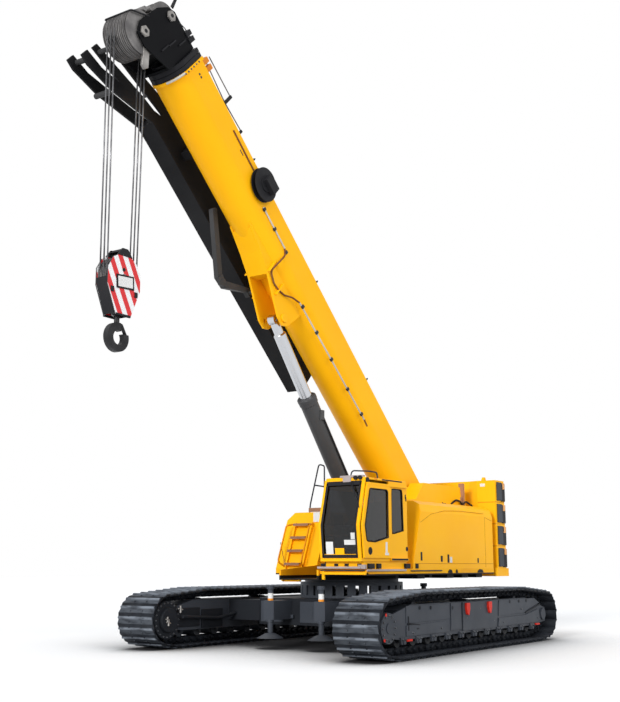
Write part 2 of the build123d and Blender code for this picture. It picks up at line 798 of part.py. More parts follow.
def make_ladder():
    plane = Plane(
        origin=(ladder_x, ladder_y, ladder_foot),
        x_dir=(0, 1, 0),
        z_dir=(math.cos(math.radians(ladder_lean)), 0, math.sin(math.radians(ladder_lean))),
    )
    with BuildPart() as ladder:
        with BuildSketch(plane):
            with Locations((0, ladder_length / 2)):
                with GridLocations(ladder_width, 1, 2, 1):
                    Rectangle(40, ladder_length)
        extrude(amount=ladder_depth / 2, both=True)
        with BuildSketch(plane.offset(-ladder_depth / 2)):
            for step in range(5):
                with Locations((0, 60 + step * (ladder_length - 120) / 4)):
                    Rectangle(ladder_width - 40, 30)
        extrude(amount=1.5 * ladder_depth)
        with BuildSketch(plane.offset(-ladder_depth / 2)):
            with Locations((0, ladder_length / 2)):
                Rectangle(ladder_width + 40, ladder_length)
        extrude(amount=-ladder_back)
    save(ladder, "ladder")


counterweight_front = -3850.0
counterweight_rear = -4480.0
slab_count = 4
slab_height = 500.0
slab_half_width = 1500.0


def make_counterweight():
    with BuildPart() as tray:
        ledge = deck_bottom + base_plate + seat_gap
        with BuildSketch(Plane.XY.offset(ledge)):
            with Locations(((counterweight_front + counterweight_rear) / 2, 0)):
                RectangleRounded(counterweight_front - counterweight_rear + 60, 2 * slab_half_width, 60)
        extrude(amount=deck_top - ledge)
    save(tray, "counterweight_tray")
    for number in range(slab_count):
        low = deck_top + number * slab_height
        with BuildPart() as slab:
            with BuildSketch(Plane.XY.offset(low)):
                with BuildLine():
                    Polyline(
                        (counterweight_front, slab_half_width), (counterweight_front, 1050),
                        (counterweight_front - 90, 800), (counterweight_front - 90, -800),
                        (counterweight_front, -1050), (counterweight_front, -slab_half_width),
                        (counterweight_rear + 140, -slab_half_width),
                        (counterweight_rear, -slab_half_width + 160),
                        (counterweight_rear, slab_half_width - 160),
                        (counterweight_rear + 140, slab_half_width), close=True)
                make_face()
            extrude(amount=slab_height)
        save(slab, f"counterweight_slab_{number + 1}")


# winch drums: along, height, flange radius, barrel radius
winch_table = [("winch_drum_main", -3190.0, 2080.0, 320.0, 200.0),
               ("winch_drum_aux", -3330.0, 2820.0, 300.0, 190.0)]
winch_half_width = 330.0
stand_inner = cheek_y + cheek_plate + seat_gap
stand_plate = 19.0


def make_winches():
    for name, x, z, flange, barrel in winch_table:
        with BuildPart() as drum:
            with BuildSketch(side_plane(0)):
                with Locations((x, z)):
                    Circle(barrel)
            extrude(amount=winch_half_width, both=True)
            for side in (1, -1):
                with BuildSketch(side_plane(side * (winch_half_width - 15))):
                    with Locations((x, z)):
                        Circle(flange)
                extrude(amount=15, both=True)
            with BuildSketch(side_plane(0)):
                with Locations((x, z)):
                    Circle(60)
            extrude(amount=stand_inner + stand_plate - 0.5, both=True)
        save(drum, name)
    with BuildPart() as stands:
        for side in (1, -1):
            with BuildSketch(side_plane(side * (stand_inner + stand_plate / 2))):
                with BuildLine():
                    Polyline((-3640, deck_top), (-2900, deck_top), (-3000, 2900),
                             (-3100, 3080), (-3560, 3080), (-3640, 2900), close=True)
                make_face()
                with Locations(*[(x, z) for _, x, z, _, _ in winch_table]):
                    Circle(60 + pin_gap, mode=Mode.SUBTRACT)
            extrude(amount=stand_plate / 2, both=True)
    save(stands, "winch_stands")


# ---- boom ---------------------------------------------------------------------------------------

def u_outline(width, height, top):
    """Boom section: flat top, straight sides and a half-round belly."""
    half = width / 2
    spring = top - height + half
    Line((-half, top), (half, top))
    Line((half, top), (half, spring))
    ThreePointArc((half, spring), (0, top - height), (-half, spring))
    Line((-half, spring), (-half, top))


def tube(start, end, width, height, top, wall):
    """Hollow boom section between two stations along the boom."""
    with BuildSketch(boom_cross_plane(start)) as profile:
        with BuildLine():
            u_outline(width, height, top)
        make_face()
        with BuildLine():
            u_outline(width - 2 * wall, height - 2 * wall, top - wall)
        make_face(mode=Mode.SUBTRACT)
    extrude(profile.sketch, amount=end - start)


def make_boom_base():
    """Base section with its foot, end collar and the lugs that take the lift cylinder."""
    belly = top_over_pivot - base_height
    with BuildPart() as base:
        tube(boom_tail, boom_end, base_width, base_height, top_over_pivot, boom_wall)
        # collar round the front end
        tube(boom_end - 60, boom_end, base_width + 50, base_height + 50, top_over_pivot + 25,
             25 + boom_wall)
        # foot boss round the pivot pin
        with BuildSketch(boom_side_plane(0)):
            Circle(pivot_pin_radius + 70)
        extrude(amount=cheek_y - 5, both=True)
        with BuildSketch(boom_side_plane(0)):
            Circle(pivot_pin_radius)
        extrude(amount=cheek_y + cheek_plate, both=True)
        # tail plate
        with BuildSketch(boom_cross_plane(boom_tail)):
            with BuildLine():
                u_outline(base_width, base_height, top_over_pivot)
            make_face()
        extrude(amount=20)
        # lift lugs
        for side in (1, -1):
            with BuildSketch(boom_side_plane(side * (lug_inner + lug_plate / 2))):
                with BuildLine():
                    Polyline(
                        (eye_along - 330, belly + 150), (eye_along - 190, eye_depth - 20),
                        (eye_along - 80, eye_depth - 130), (eye_along + 110, eye_depth - 130),
                        (eye_along + 900, belly - 190), (eye_along + 1350, belly - 60),
                        (eye_along + 1900, belly + 60), (eye_along + 1900, belly + 200),
                        close=True)
                make_face()
                with Locations((eye_along, eye_depth)):
                    Circle(45, mode=Mode.SUBTRACT)
            extrude(amount=lug_plate / 2, both=True)
        with BuildSketch(boom_side_plane(0)):
            with BuildLine():
                Polyline((eye_along + 700, belly - 20), (eye_along + 900, belly - 190),
                         (eye_along + 1350, belly - 60), (eye_along + 1800, belly + 30),
                         (eye_along + 1800, belly + 60), (eye_along + 700, belly + 8), close=True)
            make_face()
        extrude(amount=lug_inner, both=True)
        # keep the bore free for the inner sections
        with BuildSketch(boom_cross_plane(pivot_pin_radius + 200)) as bore:
            with BuildLine():
                u_outline(base_width - 2 * boom_wall, base_height - 2 * boom_wall,
                          top_over_pivot - boom_wall)
            make_face()
        extrude(bore.sketch, amount=boom_end, mode=Mode.SUBTRACT)
    save(base, "boom_base")


def make_boom_sections():
    """Three inner sections, each in the bore of the one before, with slide pads and a collar."""
    step = boom_wall + nest_gap
    for number in (1, 2, 3):
        width = base_width - 2 * step * number
        height = base_height - 2 * step * number
        top = top_over_pivot - step * number
        tail = section_tail + tail_step * (number - 1)
        front = boom_end + number * (collar_length + collar_space)
        with BuildPart() as section:
            tube(tail, front, width, height, top, boom_wall)
            pad = nest_gap - seat_gap
            tube(tail, tail + slide_pad_length, width + 2 * pad, height + 2 * pad, top + pad,
                 pad + boom_wall)
            if number < 3:
                grow = 2 * step * number + 30
                tube(front - collar_length, front, width + grow, height + grow, top + grow / 2,
                     grow / 2 + boom_wall)
        save(section, f"boom_section_{number}")


def make_head():
    """Welded head on the last section: two cheeks, a throat plate, and stiffening webs."""
    step = boom_wall + nest_gap
    start = boom_end + 2 * (collar_length + collar_space) + collar_space
    end = boom_end + 3 * (collar_length + collar_space)
    width = base_width - 6 * step
    height = base_height - 6 * step
    top = top_over_pivot - step * 3
    cheek = [
        (start, 600), (front_axle[0] - 80, 600), (rear_axle[0] + 150, rear_axle[1] + 60),
        (rear_axle[0] + 260, 200), (front_axle[0] + 190, front_axle[1] + 60),
        (front_axle[0] + 60, front_axle[1] - 170), (front_axle[0] - 190, front_axle[1] - 180),
        (start, -300),
    ]
    with BuildPart() as head:
        for side in (1, -1):
            with BuildSketch(boom_side_plane(side * (head_half_width + head_plate / 2))):
                with BuildLine():
                    Polyline(*cheek, close=True)
                make_face()
                with Locations(front_axle, rear_axle):
                    Circle(axle_radius + pin_gap, mode=Mode.SUBTRACT)
            extrude(amount=head_plate / 2, both=True)
        # end plate round the last section
        with BuildSketch(boom_cross_plane(start)):
            with Locations((0, 150)):
                Rectangle(2 * head_half_width + 2 * head_plate, 900)
            with BuildLine():
                u_outline(width + 2 * seat_gap, height + 2 * seat_gap, top + seat_gap)
            make_face(mode=Mode.SUBTRACT)
        extrude(amount=40)
    save(head, "boom_head")


def sheave_profile(radius, x_mid):
    """Half section of a grooved sheave in the plane of its axle, for one turn about the axle."""
    half = sheave_width / 2
    bed = rope_radius + 2
    Polyline((x_mid - half, axle_radius - 5), (x_mid - half, radius),
             (x_mid - bed - 6, radius), (x_mid - bed, radius - groove_depth),
             (x_mid + bed, radius - groove_depth), (x_mid + bed + 6, radius),
             (x_mid + half, radius), (x_mid + half, axle_radius - 5), close=True)


def make_sheave_set(name, axle, radius, offsets, half_width):
    """Grooved sheaves on one axle."""
    centre = boom_point(*axle)
    with BuildPart() as sheaves:
        for offset in offsets:
            with BuildSketch(Plane(origin=centre, x_dir=(0, 1, 0), z_dir=(1, 0, 0))):
                with BuildLine():
                    sheave_profile(radius, offset)
                make_face()
            revolve(axis=Axis(centre, (0, 1, 0)))
        with BuildSketch(side_plane(0)):
            with Locations((centre[0], centre[2])):
                Circle(axle_radius)
        extrude(amount=half_width, both=True)
    save(sheaves, name)


def make_lift_cylinder():
    foot = (foot_x, 0.0, foot_z)
    eye = boom_point(eye_along, eye_depth)
    reach = math.hypot(eye[0] - foot[0], eye[2] - foot[2])
    lean = ((eye[0] - foot[0]) / reach, 0.0, (eye[2] - foot[2]) / reach)
    # own x across the cylinder, own y along it
    half_plane = Plane(origin=foot, x_dir=(0, 1, 0), z_dir=tuple(
        Vector(0, 1, 0).cross(Vector(*lean))))
    axis = Axis(foot, lean)
    gland = rod_radius + pin_gap
    with BuildPart() as barrel:
        with BuildSketch(half_plane):
            with BuildLine():
                Polyline((0, 150), (barrel_radius - 20, 150), (barrel_radius, 230),
                         (barrel_radius, barrel_length - 160), (barrel_radius + 14, barrel_length - 150),
                         (barrel_radius + 14, barrel_length - 20), (barrel_radius, barrel_length),
                         (gland, barrel_length), (gland, barrel_length - 260),
                         (barrel_radius - 30, barrel_length - 260), (barrel_radius - 30, 420),
                         (0, 420), close=True)
            make_face()
        revolve(axis=axis)
        with BuildSketch(side_plane(0)):
            with Locations((foot_x, foot_z)):
                Circle(170)
        extrude(amount=eye_width / 2, both=True)
        with BuildSketch(side_plane(0)):
            with Locations((foot_x, foot_z)):
                Circle(70)
        extrude(amount=cheek_y - 2, both=True)
    save(barrel, "lift_barrel")

    rod_start = reach - rod_length
    with BuildPart() as rod:
        with BuildSketch(half_plane):
            with BuildLine():
                Polyline((0, rod_start), (barrel_radius - 30 - pin_gap, rod_start),
                         (barrel_radius - 30 - pin_gap, rod_start + 180),
                         (rod_radius, rod_start + 180), (rod_radius, reach - 330),
                         (rod_radius - 30, reach - 300), (rod_radius - 30, reach - 60),
                         (0, reach - 60), close=True)
            make_face()
        revolve(axis=axis)
        with BuildSketch(side_plane(0)):
            with Locations((eye[0], eye[2])):
                Circle(eye_radius)
                Circle(45, mode=Mode.SUBTRACT)
        extrude(amount=eye_width / 2, both=True)
    save(rod, "lift_rod")


def make_cable_reel():
    reel_along, reel_square, reel_radius = 7970.0, 420.0, 330.0
    inner = base_width / 2 + seat_gap
    with BuildPart() as reel:
        with BuildSketch(boom_side_plane(inner)):
            with Locations((reel_along, reel_square)):
                Circle(reel_radius * 0.45)
        extrude(amount=-150)
        for y in (inner + 30, inner + 120):
            with BuildSketch(boom_side_plane(y)):
                with Locations((reel_along, reel_square)):
                    Circle(reel_radius)
            extrude(amount=-10)
        with BuildSketch(boom_side_plane(inner + 130)):
            with Locations((reel_along - 60, reel_square + 60)):
                Rectangle(330, 220)
        extrude(amount=-110)
    save(reel, "cable_reel")


jib_wall = 12.0


def make_jib():
    """Stowed jib: a box that tapers to a forked tip, pinned along the boom's right side."""
    y_mid = -760.0
    half = 190.0
    body = [
        (3600, 390), (9300, 370), (9700, 330), (9970, -20), (9970, -320), (6000, -310), (3600, -300),
    ]
    fork_low = [(9600, -320), (9970, -330), (10900, -860), (11500, -1080), (11690, -1080),
                (11690, -900), (11300, -800), (10400, -300), (9900, 0), (9600, 0)]
    fork_high = [(9600, 300), (9900, 20), (11590, -370), (11590, -220), (10300, 200), (9600, 360)]
    with BuildPart() as jib:
        with BuildSketch(boom_side_plane(y_mid)):
            with BuildLine():
                Polyline(*body, close=True)
            make_face()
        extrude(amount=half, both=True)
        with BuildSketch(boom_side_plane(y_mid)):
            with BuildLine():
                Polyline(*body, close=True)
            make_face()
            offset(amount=-jib_wall, kind=Kind.INTERSECTION, mode=Mode.REPLACE)
        extrude(amount=half - jib_wall, both=True, mode=Mode.SUBTRACT)
        for y in (y_mid + half - 20, y_mid - half + 20):
            for outline in (fork_low, fork_high):
                with BuildSketch(boom_side_plane(y)):
                    with BuildLine():
                        Polyline(*outline, close=True)
                    make_face()
                extrude(amount=20, both=True)
        # brackets to the boom's side
        for along in (4300, 9100):
            with BuildSketch(boom_side_plane(-base_width / 2 - seat_gap)):
                with Locations((along, 60)):
                    Rectangle(160, 240)
            extrude(amount=-(y_mid + half) - base_width / 2 - seat_gap + 5)
    save(jib, "jib")

    with BuildPart() as arm:
        with BuildSketch(boom_side_plane(-420)):
            with BuildLine():
                Polyline((6180, -560), (6300, -560), (6760, -1060), (7020, -1080), (8040, -250),
                         (7960, -150), (6960, -960), (6860, -960), (6300, -430), (6180, -430),
                         close=True)
            make_face()
        extrude(amount=50, both=True)
        # pin from the arm's root to the lift lug beside it
        with BuildSketch(boom_side_plane(-420)):
            with Locations((6240, -495)):
                Circle(38)
        extrude(amount=-(420 - lug_inner - lug_plate - seat_gap))
    save(arm, "jib_stow_arm")


def make_hook_block():
    x = boom_point(*front_axle)[0]
    shank_top = crosshead_low + crosshead_height + seat_gap + 45
    with BuildPart() as cheeks:
        for side in (1, -1):
            with BuildSketch(side_plane(block_y + side * (block_half_depth + block_plate / 2))):
                with BuildLine():
                    Polyline((x, block_top), (x + 260, 6440), (x + block_half_width, 6260),
                             (x + block_half_width, 5980), (x + 165, block_low),
                             (x - 165, block_low), (x - block_half_width, 5980),
                             (x - block_half_width, 6260), (x - 260, 6440), close=True)
                make_face()
                with Locations((x, block_sheave_z)):
                    Circle(axle_radius - 5 + pin_gap, mode=Mode.SUBTRACT)
            extrude(amount=block_plate / 2, both=True)
        # crosshead between the cheeks, bored for the hook's shank
        with BuildSketch(Plane.XY.offset(crosshead_low)):
            with Locations((x, block_y)):
                Rectangle(280, 2 * block_half_depth)
                Circle(hook_shank_radius + pin_gap, mode=Mode.SUBTRACT)
        extrude(amount=crosshead_height)
        # spacer over the sheaves
        with BuildSketch(side_plane(block_y)):
            with Locations((x, block_top - 55)):
                Rectangle(120, 36)
        extrude(amount=block_half_depth, both=True)
    save(cheeks, "block_cheeks")

    with BuildPart() as sheaves:
        centre = (x, block_y, block_sheave_z)
        for offset in (-sheave_pitch, 0.0, sheave_pitch):
            with BuildSketch(Plane(origin=centre, x_dir=(0, 1, 0), z_dir=(1, 0, 0))):
                with BuildLine():
                    sheave_profile(block_sheave_radius, offset)
                make_face()
            revolve(axis=Axis(centre, (0, 1, 0)))
        with BuildSketch(side_plane(block_y)):
            with Locations((x, block_sheave_z)):
                Circle(axle_radius - 5)
        extrude(amount=block_half_depth + block_plate, both=True)
    save(sheaves, "block_sheaves")

    with BuildPart() as hook:
        shank_low = hook_bowl_z + hook_bowl_radius - 70
        with BuildSketch(Plane.XY.offset(shank_low)):
            with Locations((x, block_y)):
                Circle(hook_shank_radius)
        extrude(amount=shank_top - shank_low)
        # nut on the crosshead
        with BuildSketch(Plane.XY.offset(crosshead_low + crosshead_height + seat_gap)):
            with Locations((x, block_y)):
                Circle(hook_shank_radius + 35)
        extrude(amount=45)
        with BuildSketch(side_plane(block_y)):
            with Locations((x, hook_bowl_z)):
                Circle(hook_bowl_radius)
            with Locations((x - 10, hook_bowl_z - 5)):
                Circle(hook_throat_radius, mode=Mode.SUBTRACT)
            with Locations((x - 190, hook_bowl_z + 160)):
                Rectangle(260, 190, mode=Mode.SUBTRACT)
        extrude(amount=50, both=True)
    save(hook, "hook")


def make_ropes():
    """The falls between the head and the hook block, from groove to groove."""
    x, _, z_axle = boom_point(*front_axle)
    bed = rope_radius + seat_gap - groove_depth
    with BuildPart() as ropes:
        for side in (1, -1):
            for number in (-1, 0, 1):
                y = block_y + number * sheave_pitch
                with BuildSketch(Plane.XY.offset(block_sheave_z)) as low:
                    with Locations((x + side * (block_sheave_radius + bed), y)):
                        Circle(rope_radius)
                with BuildSketch(Plane.XY.offset(z_axle)) as high:
                    with Locations((x + side * (sheave_radius + bed), y)):
                        Circle(rope_radius)
                loft([low.sketch, high.sketch])
    save(ropes, "hoist_ropes")


for side, hand in ((1, "left"), (-1, "right")):
    make_track(side, f"track_{hand}")
    make_end_wheel(side, end_wheel_x, f"sprocket_{hand}", True)
    make_end_wheel(side, -end_wheel_x, f"idler_{hand}", False)
    make_rollers(side, f"rollers_{hand}")
    make_track_frame(side, f"track_frame_{hand}")
make_carbody()
make_cross_beams()
make_slew_ring()
make_jacks()
make_slewing_frame()
make_decks()
make_cab()
make_left_hood()
make_right_hood()
make_ladder()
make_counterweight()
make_winches()
make_boom_base()
make_boom_sections()
make_head()
front_offsets = [
    (k - (front_sheave_count - 1) / 2) * sheave_pitch for k in range(front_sheave_count)
]
make_sheave_set("head_sheaves", front_axle, sheave_radius, front_offsets, head_half_width + 30)
make_sheave_set("top_sheaves", rear_axle, top_sheave_radius, top_sheave_offsets, head_half_width + 30)
make_lift_cylinder()
make_cable_reel()
make_jib()
make_hook_block()
make_ropes()
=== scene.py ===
import bmesh
import bpy
import math
from mathutils import Matrix, Vector


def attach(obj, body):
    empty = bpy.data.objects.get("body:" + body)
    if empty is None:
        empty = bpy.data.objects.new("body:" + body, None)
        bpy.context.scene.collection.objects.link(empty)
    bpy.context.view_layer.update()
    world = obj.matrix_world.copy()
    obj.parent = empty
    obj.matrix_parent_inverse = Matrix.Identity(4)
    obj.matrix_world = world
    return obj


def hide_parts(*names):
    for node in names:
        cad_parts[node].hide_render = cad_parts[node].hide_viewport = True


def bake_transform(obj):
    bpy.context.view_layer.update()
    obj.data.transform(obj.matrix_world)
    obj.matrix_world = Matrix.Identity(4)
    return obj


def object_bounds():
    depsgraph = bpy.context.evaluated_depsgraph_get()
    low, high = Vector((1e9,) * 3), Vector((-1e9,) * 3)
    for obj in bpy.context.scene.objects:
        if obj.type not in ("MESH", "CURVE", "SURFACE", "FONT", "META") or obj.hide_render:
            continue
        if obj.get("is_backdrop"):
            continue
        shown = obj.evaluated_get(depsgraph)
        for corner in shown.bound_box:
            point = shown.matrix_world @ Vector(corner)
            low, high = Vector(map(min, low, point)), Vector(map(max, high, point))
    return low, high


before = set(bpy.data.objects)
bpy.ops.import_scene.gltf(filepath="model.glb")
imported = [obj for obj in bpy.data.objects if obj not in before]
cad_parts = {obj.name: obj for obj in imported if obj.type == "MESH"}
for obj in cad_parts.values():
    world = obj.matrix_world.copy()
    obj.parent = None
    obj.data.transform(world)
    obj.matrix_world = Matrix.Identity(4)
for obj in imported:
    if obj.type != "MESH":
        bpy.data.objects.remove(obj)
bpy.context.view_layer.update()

# Studio: a pale seamless floor with a painted shadow near the crane, a soft sky all round, a broad
# lamp ahead of the crane and a weak one on its left. The camera stands low, ahead of the crane and to
# its left.
floor_reach = 90.0
eye_lens = 54.67
eye_place = Vector((19.0, 12.0, 1.58))
eye_heading = math.radians(180 + 34.46)
eye_rise = math.radians(11.33)


def feed(tree, made, inputs):
    """Set each input of a node to a value, or link it from a socket."""
    for place, given in inputs.items():
        if isinstance(given, bpy.types.NodeSocket):
            tree.links.new(given, made.inputs[place])
        else:
            made.inputs[place].default_value = given
    return made


def node(tree, kind, inputs=None, **settings):
    """Add a node with its settings, and feed it."""
    made = tree.nodes.new(kind)
    for name, value in settings.items():
        setattr(made, name, value)
    return feed(tree, made, inputs or {})


def maths(tree, operation, *terms):
    """Result of one operation on values or sockets."""
    return node(tree, "ShaderNodeMath", dict(enumerate(terms)), operation=operation).outputs[0]


def span_to_share(tree, value, start, end, low=0.0, high=1.0):
    """Map a value's span from start to end onto low to high, clamped."""
    return node(tree, "ShaderNodeMapRange", {"Value": value, "From Min": start, "From Max": end,
                                             "To Min": low, "To Max": high}).outputs["Result"]


def blend_colours(tree, share, first, second):
    """Second colour over the first by a share."""
    return node(tree, "ShaderNodeMix", {0: share, 6: first, 7: second}, data_type="RGBA").outputs[2]


def blank_finish(name):
    """A new material, its node tree and its shader."""
    mat = bpy.data.materials.new(name)
    mat.use_nodes = True
    return mat, mat.node_tree, mat.node_tree.nodes["Principled BSDF"]


def light_path_share(tree):
    """1 for what the eye, a mirror or glass sees, 0 for what only lights other things."""
    path = node(tree, "ShaderNodeLightPath").outputs
    direct = maths(tree, "MAXIMUM", path["Is Camera Ray"], path["Is Glossy Ray"])
    return maths(tree, "MAXIMUM", direct, path["Is Transmission Ray"])


def stand_in_scene(name, data):
    """A new object in the scene, at the origin."""
    thing = bpy.data.objects.new(name, data)
    bpy.context.scene.collection.objects.link(thing)
    return thing


def make_studio():
    scene = bpy.context.scene
    scene.view_settings.view_transform = "Standard"
    camera = bpy.data.cameras.new("eye")
    camera.lens = eye_lens
    camera.sensor_width = 36.0
    camera.clip_end = 300.0
    scene.camera = stand_in_scene("eye", camera)
    level = math.cos(eye_rise)
    look = Vector((math.cos(eye_heading) * level, math.sin(eye_heading) * level, math.sin(eye_rise)))
    turn = look.to_track_quat("-Z", "Y").to_matrix().to_4x4()
    scene.camera.matrix_world = Matrix.Translation(eye_place) @ turn

    scene.world = bpy.data.worlds.new("sky")
    scene.world.use_nodes = True
    tree = scene.world.node_tree
    lit = feed(tree, tree.nodes["Background"], {"Color": (0.93, 0.96, 1, 1), "Strength": 0.66})
    seen = node(tree, "ShaderNodeBackground", {"Color": (1, 1, 1, 1)})
    sky = node(tree, "ShaderNodeMixShader", {0: light_path_share(tree), 1: lit.outputs[0],
                                             2: seen.outputs[0]})
    feed(tree, tree.nodes["World Output"], {"Surface": sky.outputs[0]})

    for name, aim, power, softness in (
        ("front_lamp", (0.94, 0.08, 0.28), 2.3, 18),
        ("left_lamp", (0.15, 0.95, 0.35), 1.15, 40),
    ):
        sun = bpy.data.lights.new(name, "SUN")
        sun.energy = power
        sun.angle = math.radians(softness)
        stand_in_scene(name, sun).rotation_euler = Vector(aim).to_track_quat("Z", "Y").to_euler()

    mesh = bpy.data.meshes.new("floor")
    corners = ((-1, -1), (1, -1), (1, 1), (-1, 1))
    mesh.from_pydata([(x * floor_reach, y * floor_reach, 0) for x, y in corners], [], [(0, 1, 2, 3)])
    paint, tree, surface = blank_finish("floor_paint")
    # Painted shadow: ambient occlusion darkens the floor's colour and glow near the crane.
    near = node(tree, "ShaderNodeAmbientOcclusion", {"Distance": 3.8}, samples=8)
    unshadowed_share = span_to_share(tree, near.outputs["AO"], 0.40, 0.985)
    tone = blend_colours(tree, unshadowed_share, (0.045, 0.045, 0.048, 1), (0.86, 0.86, 0.86, 1))
    feed(tree, surface, {"Base Color": tone, "Roughness": 0.9, "Specular IOR Level": 0.1})
    glow = node(tree, "ShaderNodeEmission", {"Strength": maths(tree, "MULTIPLY", unshadowed_share, 0.22)})
    both = node(tree, "ShaderNodeAddShader", {0: surface.outputs[0], 1: glow.outputs[0]})
    mix = node(tree, "ShaderNodeMixShader", {0: light_path_share(tree), 1: surface.outputs[0],
                                             2: both.outputs[0]})
    feed(tree, tree.nodes["Material Output"], {"Surface": mix.outputs[0]})
    mesh.materials.append(paint)
    floor = stand_in_scene("floor", mesh)
    floor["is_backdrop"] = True


make_studio()

# Tracks: cast steel shoes bolted in one loop to two rows of forged links. Each shoe has a raised bar
# across it, rubbed bright along its crest, and laps the next shoe at its edge. Its crest and the rear
# half of its face are also lightened as painted highlight.
track_middle = 2.45
shoe_count = 76
shoe_width = 0.9
bar_height = 0.028
shoe_under = -0.068
link_under = -0.196
# Circles that the loop runs round, in the side view: x, z and radius, from the front, anticlockwise
loop_circles = [(3.31, 0.545, 0.5), (2.15, 0.835, 0.3), (-2.15, 0.835, 0.3), (-3.31, 0.545, 0.5),
                (-2.98, 0.33, 0.33), (2.98, 0.33, 0.33)]


def object_noise(tree, scale, detail=4.0, stretch=(1, 1, 1)):
    """Noise that stays with the piece; stretch draws it out along an axis."""
    place = node(tree, "ShaderNodeTexCoord")
    mapping = node(tree, "ShaderNodeMapping", {"Vector": place.outputs["Object"], "Scale": stretch})
    return node(tree, "ShaderNodeTexNoise", {"Vector": mapping.outputs["Vector"], "Scale": scale,
                                             "Detail": detail}).outputs["Fac"]


def two_tones(tree, share, low, high, start=0.35, end=0.65):
    """Blend of two colours as a share goes from start to end."""
    ramp = node(tree, "ShaderNodeValToRGB", {"Fac": share})
    for stop, position, colour in zip(ramp.color_ramp.elements, (start, end), (low, high)):
        stop.position = position
        stop.color = (*colour, 1)
    return ramp.outputs["Color"]


def add_bump(tree, surface, height, strength, depth):
    bump = node(tree, "ShaderNodeBump", {"Height": height, "Strength": strength, "Distance": depth})
    feed(tree, surface, {"Normal": bump.outputs["Normal"]})


def cast_steel(name, dark, pale, roughness, metallic, worn=None, shine=0.3):
    """Cast or forged steel: clouded tone, coarse skin, bright wear and painted highlight where its
    attribute says.
    """
    mat, tree, surface = blank_finish(name)
    tone = two_tones(tree, object_noise(tree, 4.0, 8.0), dark, pale)
    if worn:
        rub = node(tree, "ShaderNodeAttribute", attribute_name="wear_and_highlight").outputs["Fac"]
        patchy = span_to_share(tree, object_noise(tree, 14.0, 6.0, (1, 0.3, 1)), 0.32, 0.55, 0.25, 1.0)
        tone = blend_colours(tree, maths(tree, "MULTIPLY", rub, patchy), tone, (*worn, 1))
    skin = object_noise(tree, 90.0, 5.0)
    gloss = span_to_share(tree, skin, 0.3, 0.7, roughness - 0.08, roughness + 0.1)
    feed(tree, surface, {"Base Color": tone, "Metallic": metallic, "Specular IOR Level": shine,
                         "Roughness": gloss})
    add_bump(tree, surface, skin, 0.35, 0.004)
    return mat


def mesh_piece(name, bm, finish=None, body=None, bevel=0.0):
    """Turn a bmesh into a piece at the origin, with its finish, riding on its body."""
    mesh = bpy.data.meshes.new(name)
    bm.normal_update()
    bm.to_mesh(mesh)
    bm.free()
    piece = stand_in_scene(name, mesh)
    mesh.shade_smooth()
    if finish:
        mesh.materials.append(finish)
    if bevel:
        edges = piece.modifiers.new("edges", "BEVEL")
        edges.width = bevel
        edges.segments = 2
        edges.limit_method = "ANGLE"
        edges.angle_limit = math.radians(35)
        edges.harden_normals = True
    if body:
        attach(piece, body)
    return piece


def add_prism(bm, outline, low, high, turn=Matrix()):
    """A closed outline in the x-z plane, drawn out in y from low to high."""
    first = [bm.verts.new(turn @ Vector((x, low, z))) for x, z in outline]
    last = [bm.verts.new(turn @ Vector((x, high, z))) for x, z in outline]
    faces = [bm.faces.new(first), bm.faces.new(list(reversed(last)))]
    count = len(outline)
    for i in range(count):
        j = (i + 1) % count
        faces.append(bm.faces.new((first[j], first[i], last[i], last[j])))
    bmesh.ops.recalc_face_normals(bm, faces=faces)


def add_round(bm, centre, axis, radius, length, sides=24, radius_end=None):
    """A round bar or cone about a middle point, along an axis."""
    turn = Vector(axis).to_track_quat("Z", "Y").to_matrix().to_4x4()
    far_radius = radius if radius_end is None else radius_end
    bmesh.ops.create_cone(bm, cap_ends=True, segments=sides, radius1=radius, radius2=far_radius,
                          depth=length, matrix=Matrix.Translation(Vector(centre)) @ turn)


def add_box(bm, corner, far_corner, turn=Matrix()):
    low = Vector([min(pair) for pair in zip(corner, far_corner)])
    high = Vector([max(pair) for pair in zip(corner, far_corner)])
    place = Matrix.Translation((low + high) / 2) @ Matrix.Diagonal((*(high - low), 1))
    bmesh.ops.create_cube(bm, size=1.0, matrix=turn @ place)


def loop_stations(count):
    """Points along the loop at equal steps, each with its turn about Y, and the step."""
    runs = []
    for i, (xa, za, ra) in enumerate(loop_circles):
        xb, zb, rb = loop_circles[(i + 1) % len(loop_circles)]
        slant = math.asin((ra - rb) / math.hypot(xb - xa, zb - za))
        normal = math.atan2(zb - za, xb - xa) - math.pi / 2 + slant
        nx, nz = math.cos(normal), math.sin(normal)
        runs.append(((xa + ra * nx, za + ra * nz), (xb + rb * nx, zb + rb * nz), normal))
    parts = []
    for i, (start, end, normal) in enumerate(runs):
        x, z, radius = loop_circles[i]
        arrive = runs[i - 1][2]
        parts.append((radius * ((normal - arrive) % (2 * math.pi)), "arc", x, z, radius, arrive))
        parts.append((math.dist(start, end), "run", start, end, normal, 0))
    total = sum(part[0] for part in parts)
    stations = []
    for k in range(count):
        left = total * (k + 0.5) / count
        for part in parts:
            if left <= part[0]:
                break
            left -= part[0]
        if part[1] == "arc":
            _, _, x, z, radius, arrive = part
            angle = arrive + left / radius
            spot = (x + radius * math.cos(angle), z + radius * math.sin(angle))
        else:
            length, _, start, end, angle, _ = part
            spot = tuple(a + (b - a) * left / length for a, b in zip(start, end))
        stations.append((spot, math.pi / 2 - angle))
    return stations, total / count


def start_group(name, *inputs):
    """A Geometry Nodes group taking a mesh and these inputs: its tree, sockets and their ids."""
    tree = bpy.data.node_groups.new(name, "GeometryNodeTree")
    ids = [tree.interface.new_socket(label, in_out="INPUT", socket_type="NodeSocket" + kind).identifier
           for label, kind in (("Mesh", "Geometry"), *inputs, ("Finish", "Material"))]
    tree.interface.new_socket("Made", in_out="OUTPUT", socket_type="NodeSocketGeometry")
    return tree, node(tree, "NodeGroupInput").outputs, ids[1:]


